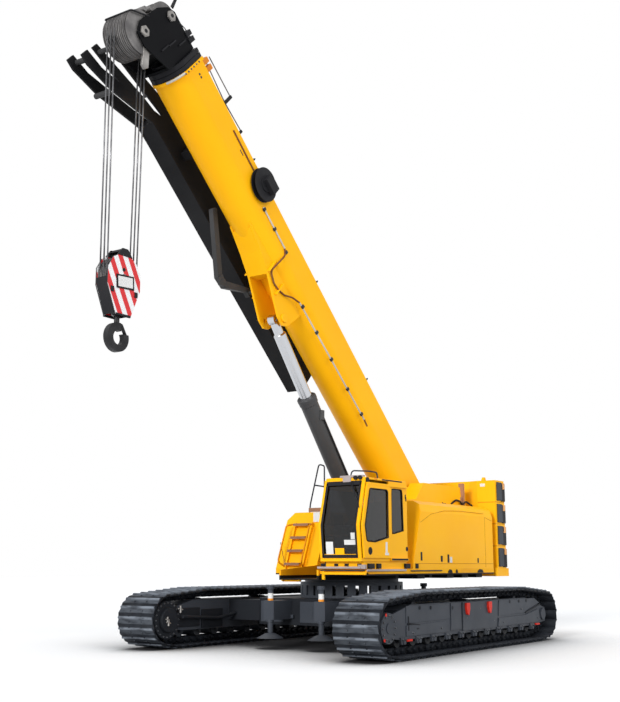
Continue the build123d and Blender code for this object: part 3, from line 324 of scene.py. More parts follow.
def end_group(tree, given, shape):
    """Make the group's shape real, give it its finish and send it out."""
    real = node(tree, "GeometryNodeRealizeInstances", {"Geometry": shape})
    coat = node(tree, "GeometryNodeSetMaterial", {"Geometry": real.outputs["Geometry"],
                                                  "Material": given["Finish"]})
    node(tree, "NodeGroupOutput", {"Made": coat.outputs["Geometry"]})


def run_group(name, mesh, group, values, body):
    """Bake what a group makes on a mesh into one plain mesh on a body."""
    tree, ids = group
    holder = stand_in_scene(name + "_holder", mesh)
    made = holder.modifiers.new("group", "NODES")
    made.node_group = tree
    for place, value in zip(ids, values):
        made[place] = value
    ready = bpy.context.evaluated_depsgraph_get()
    result = bpy.data.meshes.new_from_object(holder.evaluated_get(ready), depsgraph=ready)
    bpy.data.objects.remove(holder)
    result.shade_smooth()
    piece = stand_in_scene(name, result)
    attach(piece, body)
    return piece


def copies_group():
    """Geometry Nodes: one made part on every point, turned by the point's own angles."""
    tree, given, ids = start_group("copies_on_points", ("Part", "Object"))
    part = node(tree, "GeometryNodeObjectInfo", {"Object": given["Part"]})
    turn = node(tree, "GeometryNodeInputNamedAttribute", data_type="FLOAT_VECTOR")
    turn.inputs["Name"].default_value = "turn"
    spread = node(tree, "GeometryNodeInstanceOnPoints", {
        "Points": given["Mesh"], "Instance": part.outputs["Geometry"],
        "Rotation": turn.outputs["Attribute"]})
    end_group(tree, given, spread.outputs["Instances"])
    return tree, ids


copies = copies_group()


def spread_copies(name, part, spots, finish, body):
    """Bake copies of a part at (place, turn) spots into one plain mesh on a body."""
    mesh = bpy.data.meshes.new(name)
    mesh.from_pydata([tuple(place) for place, _ in spots], [], [])
    turns = mesh.attributes.new("turn", "FLOAT_VECTOR", "POINT")
    for i, (_, turn) in enumerate(spots):
        turns.data[i].vector = turn
    piece = run_group(name, mesh, copies, (part, finish), body)
    bpy.data.objects.remove(part)
    return piece


track_finish = cast_steel("track_steel", (0.007, 0.008, 0.011), (0.018, 0.021, 0.027), 0.55, 0.0,
                          worn=(0.17, 0.19, 0.22), shine=0.10)


def make_shoe(pitch):
    """One shoe with its two links, its pin and the heads of its bolts, lying on z = 0."""
    bm = bmesh.new()
    face = -bar_height
    profile = [(-0.5, face - 0.016), (-0.47, face - 0.002), (-0.22, face), (-0.15, -0.006), (-0.11, 0),
               (-0.03, 0), (0.01, -0.006), (0.08, face), (0.43, face - 0.002), (0.49, face - 0.014),
               (0.49, shoe_under + 0.010), (0.40, shoe_under), (-0.5, shoe_under)]
    add_prism(bm, [(share * pitch, z) for share, z in profile], -shoe_width / 2, shoe_width / 2)
    for vert in bm.verts:
        if abs(vert.co.y) > shoe_width / 2 - 0.001 and vert.co.z > face - 0.001:
            vert.co.y -= math.copysign(0.022, vert.co.y)
    link = [(-0.62, -0.13), (-0.5, -0.085), (0.3, shoe_under), (0.42, -0.1), (0.40, link_under + 0.02),
            (0.3, link_under), (-0.5, link_under + 0.004), (-0.62, -0.165)]
    for side in (-1, 1):
        y = side * 0.105
        add_prism(bm, [(share * pitch, z) for share, z in link], y - 0.022, y + 0.022)
        for x in (-0.18, 0.27):
            add_round(bm, (x * pitch, side * 0.155, face + 0.006), (0, 0, 1), 0.017, 0.024, 6)
    add_round(bm, (-0.48 * pitch, 0, -0.14), (0, 1, 0), 0.028, 0.31, 10)
    shoe = mesh_piece("shoe", bm)
    # Wear and painted highlight: the crest is rubbed bright and lit, and the rear half of the face is
    # lightened as painted highlight.
    wear_and_highlight = shoe.data.attributes.new("wear_and_highlight", "FLOAT", "POINT")
    for i, vert in enumerate(shoe.data.vertices):
        crest = vert.co.z > -0.007
        lit_rear_half = vert.co.x > 0.05 * pitch and vert.co.z > face - 0.004
        wear_and_highlight.data[i].value = 1.0 if crest else (0.35 if lit_rear_half else 0.0)
    return shoe


for side, hand in ((1, "left"), (-1, "right")):
    stations, pitch = loop_stations(shoe_count)
    spots = [((x, side * track_middle, z), (0, turn, 0)) for (x, z), turn in stations]
    shoes = spread_copies(f"track_shoes_{hand}", make_shoe(pitch), spots, track_finish, "undercarriage")
    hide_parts(f"track_{hand}")

# Undercarriage: welded side frames, carbody and cross beams in dark slate paint, with the wheels and
# rollers between their plates and the slewing ring's slotted skirt on top.
slate = (0.050, 0.056, 0.068)
slate_shade = (0.036, 0.041, 0.051)
# Black used as painted shade under the decks
painted_shade_black = (0.010, 0.009, 0.008, 1)


def object_axes(tree):
    """The piece's own x, y and z."""
    place = node(tree, "ShaderNodeTexCoord")
    return node(tree, "ShaderNodeSeparateXYZ", {0: place.outputs["Object"]}).outputs


def painted_steel(name, colour, shade, roughness, coat=0.0, dust=None, dust_top=0.0, painted_shade_below=None,
                  shine=0.12):
    """Sprayed paint: two close tones, orange peel, slight gloss changes, dust low down, and painted
    shade in black below a height.
    """
    mat, tree, surface = blank_finish(name)
    tone = two_tones(tree, object_noise(tree, 0.9, 6.0), shade, colour, 0.30, 0.62)
    height = object_axes(tree)["Z"]
    if dust:
        low_down = span_to_share(tree, height, dust_top, 0.0)
        patchy = span_to_share(tree, object_noise(tree, 3.0, 9.0), 0.42, 0.75)
        tone = blend_colours(tree, maths(tree, "MULTIPLY", low_down, patchy), tone, (*dust, 1))
    # Painted shade: black below a given height stands in for the shade under the deck's edge.
    if painted_shade_below:
        under = span_to_share(tree, height, painted_shade_below + 0.004, painted_shade_below)
        tone = blend_colours(tree, under, tone, painted_shade_black)
    patches = object_noise(tree, 2.2, 8.0)
    gloss = span_to_share(tree, patches, 0.3, 0.7, roughness - 0.05, roughness + 0.08)
    feed(tree, surface, {"Base Color": tone, "Roughness": gloss, "Specular IOR Level": shine,
                         "Coat Weight": coat, "Coat Roughness": 0.12})
    add_bump(tree, surface, object_noise(tree, 160.0, 2.0), 0.06, 0.002)
    return mat


def dress(finish, *names):
    """Give CAD nodes a finish."""
    for name in names:
        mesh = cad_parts[name].data
        mesh.materials.clear()
        mesh.materials.append(finish)


def pipes_group():
    """Geometry Nodes: round pipes along routes, with rounded corners and closed ends."""
    tree, given, ids = start_group("pipes_along_routes", ("Radius", "Float"), ("Corner", "Float"))
    line = node(tree, "GeometryNodeMeshToCurve", {"Mesh": given["Mesh"]})
    bend = node(tree, "GeometryNodeFilletCurve", {
        "Curve": line.outputs["Curve"], "Radius": given["Corner"], "Count": 4, "Limit Radius": True},
        mode="POLY")
    ring = node(tree, "GeometryNodeCurvePrimitiveCircle", {"Resolution": 10, "Radius": given["Radius"]})
    sweep = node(tree, "GeometryNodeCurveToMesh", {
        "Curve": bend.outputs["Curve"], "Profile Curve": ring.outputs["Curve"], "Fill Caps": True})
    end_group(tree, given, sweep.outputs["Mesh"])
    return tree, ids


pipes = pipes_group()


def lay_pipes(name, routes, radius, finish, body, corner=0.04):
    """Bake pipes, rails or hoses along routes of points into one plain mesh on a body."""
    points, edges = [], []
    for route in routes:
        start = len(points)
        points += [tuple(point) for point in route]
        edges += [(k, k + 1) for k in range(start, len(points) - 1)]
    mesh = bpy.data.meshes.new(name)
    mesh.from_pydata(points, edges, [])
    return run_group(name, mesh, pipes, (radius, corner, finish), body)


def make_bolt(radius, height):
    """A hexagon head on a washer, standing up along +Z."""
    bm = bmesh.new()
    add_round(bm, (0, 0, height * 0.12), (0, 0, 1), radius * 1.35, height * 0.24, 16)
    add_round(bm, (0, 0, height * 0.6), (0, 0, 1), radius, height * 0.76, 6, radius * 0.94)
    return mesh_piece("bolt", bm)


chassis_paint = painted_steel("chassis_paint", slate, slate_shade, 0.42, dust=(0.085, 0.088, 0.092),
                              dust_top=0.6)
wheel_paint = painted_steel("wheel_paint", (0.030, 0.034, 0.042), (0.016, 0.018, 0.023), 0.45,
                            dust=(0.06, 0.06, 0.06), dust_top=0.7)
deep_paint = painted_steel("deep_paint", (0.016, 0.018, 0.022), (0.009, 0.010, 0.013), 0.5)
lug_red = painted_steel("lug_red", (0.62, 0.030, 0.018), (0.48, 0.020, 0.012), 0.4)
dress(chassis_paint, "track_frame_left", "track_frame_right", "slew_ring", "jacks")
dress(deep_paint, "carbody", "cross_beams")
dress(wheel_paint, "sprocket_left", "sprocket_right", "idler_left", "idler_right", "rollers_left",
      "rollers_right")

# Side frames' outer faces: pressed cover panels in steps, red lashing lugs, the drive's round cover,
# and under them the brackets that bolt each bottom roller's axle to the frame.
frame_face = 0.290
first_roller = -2.73
roller_pitch = 0.546
roller_count = 11
end_wheel_x = 3.31
end_wheel_z = 0.545
panels = [
    # Outline in x and z, stand-off
    ([(0.50, 0.37), (0.50, 0.89), (-0.98, 0.89), (-0.95, 0.45), (-0.80, 0.37)], 0.030),
    ([(2.62, 0.38), (2.62, 0.56), (2.46, 0.56), (1.19, 0.58), (1.16, 0.52), (1.18, 0.38)], 0.016),
    ([(2.62, 0.60), (2.62, 0.885), (1.00, 0.885), (1.00, 0.61), (2.42, 0.595)], 0.010),
    ([(0.96, 0.50), (0.96, 0.885), (0.54, 0.885), (0.54, 0.40), (0.98, 0.40)], 0.018),
    ([(-1.10, 0.58), (-1.14, 0.885), (-2.90, 0.885), (-3.18, 0.78), (-2.66, 0.70), (-2.36, 0.60)],
     0.014),
    ([(-1.06, 0.38), (-1.10, 0.54), (-2.40, 0.555), (-3.10, 0.66), (-3.20, 0.44), (-3.0, 0.38)], 0.022),
]
# Slots drawn dark on the frame's face as painted shade, each an outline in x and z
openings = [
    [(2.56, 0.71), (2.53, 0.71), (2.53, 0.47), (2.56, 0.47)],
    [(2.50, 0.60), (2.50, 0.57), (2.14, 0.545), (2.14, 0.56)],
    [(2.26, 0.505), (2.26, 0.48), (2.18, 0.48), (2.18, 0.505)],
    [(-2.42, 0.615), (-2.42, 0.585), (-3.0, 0.69), (-3.2, 0.745), (-3.2, 0.765)],
]
lug_shape = [(-0.072, 0.11), (0.072, 0.11), (0.076, 0.02), (0.03, -0.10), (-0.03, -0.115),
             (-0.076, 0.0)]


def dress_frame_side(side, face, name):
    """Panels, lugs, covers, roller brackets and painted shade of holes and slots on one face of a side
    frame; side is +1 for +Y.
    """
    out = (0, side, 0)
    bm = bmesh.new()
    for outline, stand in panels:
        add_prism(bm, outline, face, face + side * stand)
    for k in range(roller_count):
        x = first_roller + k * roller_pitch
        add_prism(bm, [(x - 0.11, 0.37), (x - 0.075, 0.25), (x + 0.075, 0.25), (x + 0.11, 0.37)],
                  face - side * 0.03, face + side * 0.024)
        add_round(bm, (x, face + side * 0.012, 0.285), out, 0.035, 0.06, 16)
    add_round(bm, (end_wheel_x, face + side * 0.035, end_wheel_z), out, 0.262, 0.07, 48, 0.250)
    add_round(bm, (end_wheel_x, face + side * 0.075, end_wheel_z), out, 0.085, 0.016, 32)
    add_round(bm, (-end_wheel_x, face + side * 0.02, end_wheel_z), out, 0.12, 0.05, 32)
    mesh_piece(f"frame_covers_{name}", bm, chassis_paint, "undercarriage", 0.005)
    # Painted shade: dark discs and slots standing proud of the face stand in for the shade inside its
    # holes and slots.
    bm = bmesh.new()
    for x, z in ((2.14, 0.84), (1.73, 0.83), (-2.10, 0.84), (-2.48, 0.84), (0.90, 0.80), (-1.65, 0.84)):
        add_round(bm, (x, face + side * 0.016, z), out, 0.032, 0.012, 20)
    for outline in openings:
        add_prism(bm, outline, face, face + side * 0.021)
    mesh_piece(f"frame_openings_{name}", bm, deep_paint, "undercarriage", 0.002)
    bm = bmesh.new()
    for x in (0.35, -0.61):
        add_prism(bm, [(x + u, 0.765 + v) for u, v in lug_shape], face + side * 0.028,
                  face + side * 0.075)
    for x, z in ((2.56, 0.315), (-2.99, 0.345)):
        add_box(bm, (x - 0.09, face, z - 0.018), (x + 0.09, face + side * 0.05, z + 0.018))
    for angle in (math.radians(68), math.radians(-52)):
        add_round(bm, (end_wheel_x + 0.235 * math.cos(angle), face + side * 0.07,
                       end_wheel_z + 0.235 * math.sin(angle)), out, 0.030, 0.014, 12)
    mesh_piece(f"lashing_lugs_{name}", bm, lug_red, "undercarriage", 0.006)


def ring_of(count, radius):
    """Points at equal steps round the end wheel's middle, in x and z."""
    for k in range(count):
        angle = 2 * math.pi * k / count
        yield end_wheel_x + radius * math.cos(angle), end_wheel_z + radius * math.sin(angle)


bolt_steel = cast_steel("bolt_steel", (0.050, 0.053, 0.060), (0.12, 0.125, 0.135), 0.4, 0.5)
for side, hand in ((1, "left"), (-1, "right")):
    face = side * (track_middle + frame_face)
    dress_frame_side(side, face, hand)
    places = [(first_roller + k * roller_pitch + along, 0.024, 0.335)
              for k in range(roller_count) for along in (-0.055, 0.055)]
    places += [(x, 0.069, z) for x, z in ring_of(12, 0.205)]
    places += [(x, 0.014, z) for x, z in ((0.35, 0.60), (-0.24, 0.75), (-0.85, 0.50), (-2.21, 0.68),
                                          (-3.05, 0.47), (2.40, 0.43), (1.35, 0.46), (-1.30, 0.45))]
    turn = (math.radians(-90 * side), 0, 0)
    spread_copies(f"frame_bolts_{hand}", make_bolt(0.016, 0.022),
                  [((x, face + side * stand, z), turn) for x, stand, z in places], bolt_steel,
                  "undercarriage")

# Drive motors: each sits inside its frame behind the sprocket, a round flanged gearbox with its
# fittings, fed by a stiff armoured pipe from the carbody.
bare_steel = cast_steel("bare_steel", (0.20, 0.19, 0.18), (0.42, 0.40, 0.38), 0.42, 0.7)
for side, hand in ((1, "left"), (-1, "right")):
    face = side * (track_middle - frame_face)
    bm = bmesh.new()
    add_round(bm, (end_wheel_x, face - side * 0.05, end_wheel_z), (0, side, 0), 0.355, 0.10, 56)
    add_round(bm, (end_wheel_x, face - side * 0.13, end_wheel_z), (0, side, 0), 0.22, 0.08, 40, 0.24)
    for x, z in ((2.62, 0.50), (1.9, 0.46), (0.0, 0.46), (-2.2, 0.50)):
        add_box(bm, (x - 0.35, face, z - 0.11), (x + 0.30, face - side * 0.03, z + 0.25))
    mesh_piece(f"drive_gearbox_{hand}", bm, deep_paint, "undercarriage", 0.008)
    turn = (math.radians(90 * side), 0, 0)
    spread_copies(f"gearbox_bolts_{hand}", make_bolt(0.014, 0.018),
                  [((x, face - side * 0.10, z), turn) for x, z in ring_of(20, 0.32)], bolt_steel,
                  "undercarriage")
    bm = bmesh.new()
    for x, z, reach in ((3.04, 0.74, 0.13), (3.37, 0.50, 0.12), (3.40, 0.56, 0.10)):
        add_round(bm, (x, face - side * 0.19, z), (0, 0, 1), 0.020, reach, 12)
        add_round(bm, (x, face - side * 0.19, z), (1, 0, 0.2), 0.014, reach, 12)
    mesh_piece(f"drive_fittings_{hand}", bm, bare_steel, "undercarriage", 0.002)
    start = face - side * 0.03
    lay_pipes(f"drive_pipe_{hand}", [
        [(2.95, start - side * 0.14, 0.60), (2.3, start - side * 0.06, 0.56),
         (1.75, start - side * 0.06, 0.53), (1.1, side * 1.95, 0.66), (0.75, side * 1.32, 0.80)],
    ], 0.034, deep_paint, "undercarriage", 0.35)

# Carbody ends: ribbed cover plates with hand holes, the jacks' locking collars and blank marker bands.
jack_x = 2.0
jack_y = 0.59
bm = bmesh.new()
for side in (1, -1):
    for y in (-0.95, 0.0, 0.95):
        add_box(bm, (side * 1.45, y - 0.27, 0.47), (side * 1.468, y + 0.27, 0.87))
        add_box(bm, (side * 1.468, y - 0.025, 0.56), (side * 1.474, y + 0.025, 0.78))
    for y in (-jack_y, jack_y):
        add_round(bm, (side * jack_x, y, 1.15), (0, 0, 1), 0.075, 0.07, 28)
        add_round(bm, (side * jack_x, y, 0.52), (0, 0, 1), 0.070, 0.05, 28)
for y in (-0.45, 0.45):
    add_box(bm, (1.475, y - 0.04, 0.55), (1.50, y + 0.04, 0.62))
mesh_piece("carbody_covers", bm, chassis_paint, "undercarriage", 0.006)
white_plate = painted_steel("white_plate", (0.72, 0.72, 0.71), (0.62, 0.62, 0.60), 0.4)
marker_orange = painted_steel("marker_orange", (0.78, 0.28, 0.03), (0.62, 0.20, 0.02), 0.45)
for height, size, finish, name in ((0.99, 0.10, white_plate, "white"),
                                   (0.915, 0.05, marker_orange, "orange")):
    bm = bmesh.new()
    for x in (jack_x, -jack_x):
        for y in (jack_y, -jack_y):
            add_round(bm, (x, y, height), (0, 0, 1), 0.0535, size, 28)
    mesh_piece(f"jack_bands_{name}", bm, finish, "undercarriage", 0.001)

# Slewing frame and decks: welded box sections in machine yellow, black below their edge as painted
# shade of the underside, with the tilting cab's grey carrier beam, pipes and small valves along the
# front edge.
yellow = (0.965, 0.475, 0.0040)
yellow_shade = (0.945, 0.440, 0.0035)
crane_yellow = painted_steel("crane_yellow", yellow, yellow_shade, 0.42, coat=0.03)
deck_finish = painted_steel("deck_yellow", yellow, (0.80, 0.33, 0.005), 0.5, painted_shade_below=1.405)
frame_finish = painted_steel("slewing_frame_yellow", yellow, (0.80, 0.33, 0.005), 0.5,
                             painted_shade_below=1.375)
trim_black = painted_steel("trim_black", (0.020, 0.020, 0.022), (0.012, 0.012, 0.014), 0.55)
rail_paint = painted_steel("rail_paint", (0.040, 0.044, 0.052), (0.025, 0.028, 0.034), 0.45)
step_tan = painted_steel("step_tan", (0.36, 0.19, 0.11), (0.24, 0.12, 0.07), 0.6)
handle_tan = painted_steel("handle_tan", (0.66, 0.34, 0.14), (0.52, 0.25, 0.09), 0.5)
carrier_grey = painted_steel("carrier_grey", (0.46, 0.40, 0.38), (0.30, 0.25, 0.24), 0.5)
dress(frame_finish, "slewing_frame")
dress(deck_finish, "side_decks")
dress(crane_yellow, "hood_left", "hood_right", "ladder", "counterweight_tray", "winch_stands",
      "cab_base", "cab_roof", "cab_rear_wall", "cab_right_wall", "cab_left_panel", "cab_front_frame",
      "cab_door", "cab_floor", *(f"counterweight_slab_{number}" for number in (1, 2, 3, 4)))


def box_piece(name, finish, body, bevel, *boxes):
    """A piece of plain boxes, each given by two opposite corners."""
    bm = bmesh.new()
    for corner, far_corner in boxes:
        add_box(bm, corner, far_corner)
    return mesh_piece(name, bm, finish, body, bevel)


box_piece("cab_carrier", carrier_grey, "upper", 0.006,
          ((1.86, 0.46, 1.505), (1.95, 1.42, 1.545)), ((0.40, 1.50, 1.455), (1.86, 1.528, 1.495)),
          ((1.86, 1.36, 1.50), (1.93, 1.51, 1.58)))
bm = bmesh.new()
for y in (0.52, 0.82, 1.05, 1.33):
    add_box(bm, (1.86, y, 1.55), (1.91, y + 0.09, 1.60))
for x, size in ((1.69, 0.10), (1.41, 0.06), (0.32, 0.09), (-0.05, 0.05)):
    add_box(bm, (x - size, 1.475, 1.505), (x + size, 1.524, 1.60))
for x, reach in ((-1.50, 0.10), (-1.80, 0.05), (-2.95, 0.15)):
    add_prism(bm, [(x - reach, 1.41), (x + reach, 1.41), (x + reach * 0.9, 1.45),
                   (x + reach * 0.3, 1.485), (x - reach * 0.6, 1.475)], 1.50, 1.512)
for x in (-0.6, -1.9, -2.6, -3.3):
    add_box(bm, (x - 0.15, 0.62, 1.30), (x + 0.16, 1.30, 1.375))
mesh_piece("deck_fittings", bm, trim_black, "upper", 0.005)
box_piece("front_beam", crane_yellow, "upper", 0.006,
          ((1.78, 0.55, 1.395), (1.90, 1.50, 1.44)), ((1.84, 0.52, 1.30), (1.88, 0.58, 1.50)),
          ((1.87, 0.92, 1.53), (1.89, 1.18, 1.59)))
lay_pipes("deck_pipes", [
    [(1.93, 0.50, 1.53), (1.93, 1.38, 1.53)],
    [(1.90, 0.50, 1.475), (1.90, 1.46, 1.475), (1.2, 1.515, 1.475)],
    [(0.20, 1.515, 1.46), (-1.10, 1.515, 1.46)],
    [(1.90, 0.62, 1.53), (1.90, 0.62, 1.63)],
], 0.012, rail_paint, "upper", 0.05)

# Cab: pressed and welded shell with a sliding door, dark tinted panes in black rubber, a wiper, lamps
# and a guard rail on the roof, and blank plates behind the windscreen.
dress(trim_black, "cab_console", "cable_reel")
dress(crane_yellow, "cab_door_rails")


def window_glass(name, tint):
    mat, tree, surface = blank_finish(name)
    smear = span_to_share(tree, object_noise(tree, 6.0, 5.0), 0.3, 0.7, 0.0, 0.05)
    feed(tree, surface, {"Base Color": (*tint, 1), "Transmission Weight": 1.0, "IOR": 1.45,
                         "Roughness": smear})
    return mat


def woven(name, dark, pale):
    mat, tree, surface = blank_finish(name)
    weave = object_noise(tree, 240.0, 2.0, (1, 1, 3))
    feed(tree, surface, {"Base Color": two_tones(tree, weave, dark, pale), "Roughness": 0.9})
    add_bump(tree, surface, weave, 0.4, 0.002)
    return mat


dress(window_glass("window_pane", (0.10, 0.107, 0.12)), "cab_glass", "cab_door_glass")
dress(woven("seat_cloth", (0.012, 0.012, 0.013), (0.03, 0.03, 0.034)), "cab_seat")


cab_knee = 2.3


def cab_front(z, stand):
    """The cab's front in x at a height, with a stand-off."""
    if z <= cab_knee:
        return 2.04 + 0.07 * (z - 1.64) / 0.66 + stand
    return 2.11 - 0.24 * (z - cab_knee) / 0.9 + stand


def add_front_plate(bm, y_low, y_high, z_low, z_high, stand=-0.012, thick=0.006):
    """A thin plate lying on the cab's front, bent at its knee where it crosses it."""
    heights = [z_low] + ([cab_knee] if z_low < cab_knee < z_high else []) + [z_high]
    near = [(cab_front(z, stand), z) for z in heights]
    far = [(cab_front(z, stand + thick), z) for z in reversed(heights)]
    add_prism(bm, near + far, y_low, y_high)


bm = bmesh.new()
for y_low, y_high, z_low, z_high in ((0.655, 0.70, 1.72, 3.10), (1.405, 1.44, 1.72, 3.10),
                                     (0.655, 1.44, 1.70, 1.76), (0.655, 1.44, 3.05, 3.13)):
    add_front_plate(bm, y_low, y_high, z_low, z_high, 0.001, 0.010)
add_box(bm, (0.49, 1.500, 3.166), (1.26, 1.506, 3.192))
add_round(bm, (1.80, 1.502, 3.14), (0, 1, 0), 0.055, 0.03, 24)
for x, z in ((0.36, 2.91), (0.34, 2.86)):
    add_box(bm, (x - 0.020, 1.500, z - 0.05), (x + 0.022, 1.504, z + 0.03))
add_round(bm, (0.33, 1.501, 1.88), (0, 1, 0), 0.045, 0.006, 24)
add_box(bm, (0.36, 1.544, 1.66), (0.99, 1.548, 1.695))
mesh_piece("cab_trim", bm, trim_black, "upper", 0.003)
bm = bmesh.new()
add_round(bm, (1.78, 1.5405, 1.83), (0, 1, 0), 0.072, 0.006, 32)
mesh_piece("door_lock", bm, trim_black, "cab_door", 0.002)
rubber = painted_steel("rubber", (0.012, 0.012, 0.013), (0.008, 0.008, 0.009), 0.7)
door_pane = [(1.118, 2.09), (1.60, 2.0), (1.90, 2.01), (1.96, 2.30), (1.78, 2.985), (1.118, 2.985),
             (1.118, 2.085)]
rear_pane = [(0.45, 2.23), (0.90, 2.15), (0.90, 3.03), (0.48, 3.03), (0.45, 2.22)]
lay_pipes("door_seal", [[(x, 1.541, z) for x, z in door_pane]], 0.013, rubber, "cab_door", 0.06)
lay_pipes("rear_pane_seal", [[(x, 1.492, z) for x, z in rear_pane]], 0.011, rubber, "upper", 0.08)
wiper_top = (cab_front(3.11, 0.03), 1.19, 3.11)
wiper_mid = (cab_front(2.86, 0.04), 1.36, 2.86)
wiper_end = (cab_front(2.62, 0.03), 1.47, 2.62)
lay_pipes("wiper", [[wiper_top, wiper_mid, wiper_end], [(wiper_top[0], 1.23, 3.12), wiper_mid]],
          0.009, trim_black, "upper", 0.02)
bm = bmesh.new()
for span in ((0.74, 0.90, 1.77, 2.00), (1.15, 1.40, 1.94, 2.03), (1.30, 1.39, 2.04, 2.16)):
    add_front_plate(bm, *span)
mesh_piece("blank_plates", bm, white_plate, "upper", 0.001)
box_piece("door_plate", white_plate, "cab_door", 0.001,
          ((1.10, 1.540, 1.755), (1.24, 1.543, 1.80)), ((1.15, 1.540, 1.80), (1.22, 1.543, 2.0)))
bm = bmesh.new()
add_front_plate(bm, 0.94, 1.14, 1.755, 1.88)
mesh_piece("yellow_plate", bm, crane_yellow, "upper", 0.001)
box_piece("lamp_bar", carrier_grey, "upper", 0.006,
          ((1.80, 0.95, 3.195), (1.90, 1.46, 3.235)), ((1.84, 1.02, 3.10), (1.905, 1.20, 3.20)))
bm = bmesh.new()
for y in (1.31, 1.41):
    add_round(bm, (1.91, y, 3.185), (1, 0, -0.15), 0.040, 0.05, 24)
mesh_piece("work_lamps", bm, trim_black, "upper", 0.004)
lay_pipes("roof_rail", [[(1.84, 1.15, 3.20), (1.82, 1.18, 3.33), (1.62, 1.44, 3.32), (1.38, 1.46, 3.31),
                         (1.35, 1.46, 3.20)]], 0.014, rail_paint, "upper", 0.06)
bm = bmesh.new()
for x in (1.46, 1.52):
    add_round(bm, (x, 1.503, 3.185), (0, 1, 0), 0.016, 0.012, 16)
mesh_piece("roof_bolts", bm, marker_orange, "upper", 0.002)
# What is seen of the driver's place through the windscreen
bm = bmesh.new()
add_round(bm, (1.55, 1.05, 2.36), (0.5, 0, 0.87), 0.19, 0.02, 32)
add_round(bm, (1.62, 1.05, 2.18), (0.5, 0, 0.87), 0.035, 0.34, 12)
add_box(bm, (1.70, 0.72, 2.25), (1.74, 0.90, 2.50))
mesh_piece("controls", bm, rail_paint, "upper", 0.004)
lay_pipes("cab_bars", [[(2.0, 0.70, 2.10), (1.99, 1.40, 2.12)], [(1.6, 0.80, 2.12), (1.6, 0.78, 2.42)]],
          0.012, step_tan, "upper")

# Left hood: sheet-steel engine cover in pressed panels, with latch slots drawn as painted shade, door
# seams and a reflector.
# Black hoses and the winch's rope guard show over its rear edge.
# Painted shade: thin black plates on the hood's side stand in for the shade inside its latch slots.
box_piece("hood_latches", trim_black, "upper", 0.004, *(
    ((x - width, 1.500, low), (x + width, 1.506, high))
    for x, width, low, high in ((-0.26, 0.034, 1.66, 1.83), (-1.13, 0.040, 1.64, 1.76),
                                (-1.43, 0.038, 1.62, 1.79), (-2.85, 0.030, 1.62, 1.72))))
seam_shade = painted_steel("seam_shade", (0.46, 0.17, 0.004), (0.36, 0.13, 0.003), 0.6)
lay_pipes("hood_seams", [
    [(-0.25, 1.499, 2.42), (-0.7, 1.499, 2.60), (-1.3, 1.495, 2.69), (-2.0, 1.490, 2.715),
     (-3.2, 1.490, 2.70)],
    [(-3.24, 1.499, 1.52), (-3.24, 1.499, 2.62), (-3.24, 1.45, 2.76), (-3.24, 1.31, 2.852)],
    [(0.02, 1.499, 1.60), (-3.62, 1.499, 1.60)],
    [(-3.24, 1.499, 2.62), (-3.63, 1.499, 2.55)],
], 0.0045, seam_shade, "upper", 0.1)
box_piece("reflector", white_plate, "upper", 0.001, ((-1.60, 1.500, 1.62), (-1.50, 1.505, 1.74)))
lay_pipes("hood_hoses", [
    [(-2.42, 0.83, 2.96), (-2.50, 0.86, 2.90), (-2.60, 0.86, 2.91)],
    [(-2.86, 0.86, 2.92), (-3.05, 0.90, 3.02), (-3.24, 0.90, 3.00), (-3.36, 0.90, 2.93),
     (-3.54, 0.90, 3.01), (-3.80, 0.92, 2.93), (-3.88, 0.92, 2.86)],
], 0.022, trim_black, "upper", 0.12)
box_piece("rope_guard", step_tan, "upper", 0.006,
          ((-3.50, 0.78, 2.90), (-3.42, 0.90, 3.42)), ((-3.40, 0.80, 2.90), (-3.36, 0.88, 3.10)))

# Right hood and its ladder: open-mesh steps between yellow stringers, looped grab rails at both sides
# and a dark guard rail at the top landing.
ladder_lean = math.radians(22)


def on_ladder(across, along, out):
    """A point given across the ladder, along it from its foot, and out from its face."""
    return (0.735 - along * math.sin(ladder_lean) + out * math.cos(ladder_lean), -1.01 + across,
            1.25 + along * math.cos(ladder_lean) + out * math.sin(ladder_lean))


rail_orange = painted_steel("rail_orange", (0.80, 0.30, 0.006), (0.62, 0.21, 0.005), 0.45)
lay_pipes("grab_rails", [
    [on_ladder(side * 0.225, 0.30, 0.02), on_ladder(side * 0.295, 0.34, 0.20),
     on_ladder(side * 0.295, 1.14, 0.20), on_ladder(side * 0.225, 1.26, 0.02)] for side in (-1, 1)],
    0.018, rail_orange, "upper", 0.08)
bm = bmesh.new()
for step in range(5):
    x, y, z = on_ladder(-0.188, 0.06 + step * 0.2925, 0.0)
    add_box(bm, (x - 0.03, y, z + 0.018), (x + 0.125, y + 0.376, z + 0.036))
    for k in range(4):
        add_box(bm, (x + k * 0.035, y, z + 0.036), (x + 0.012 + k * 0.035, y + 0.376, z + 0.042))
    add_box(bm, (x + 0.115, y, z - 0.012), (x + 0.125, y + 0.376, z + 0.018))
mesh_piece("step_treads", bm, step_tan, "upper", 0.003)
lay_pipes("guard_rail", [
    [(0.10, -0.98, 2.66), (0.10, -0.96, 2.84), (0.10, -0.74, 3.68), (0.10, -0.60, 3.64),
     (0.10, -0.60, 2.66)],
    [(0.10, -0.85, 3.24), (0.10, -0.60, 3.20)],
    [(0.10, -0.60, 2.80), (-1.2, -0.60, 2.80), (-1.2, -0.60, 2.66)],
], 0.016, rail_paint, "upper", 0.05)
box_piece("rail_foot", step_tan, "upper", 0.005, ((0.06, -0.98, 2.68), (0.14, -0.62, 2.76)))
box_piece("hood_plate", white_plate, "upper", 0.001, ((0.21, -0.80, 2.46), (0.225, -0.64, 2.66)))
lay_pipes("antenna", [[(0.60, -1.22, 1.62), (0.60, -1.28, 1.64), (0.60, -1.38, 2.04)]], 0.006,
          rail_paint, "upper", 0.04)
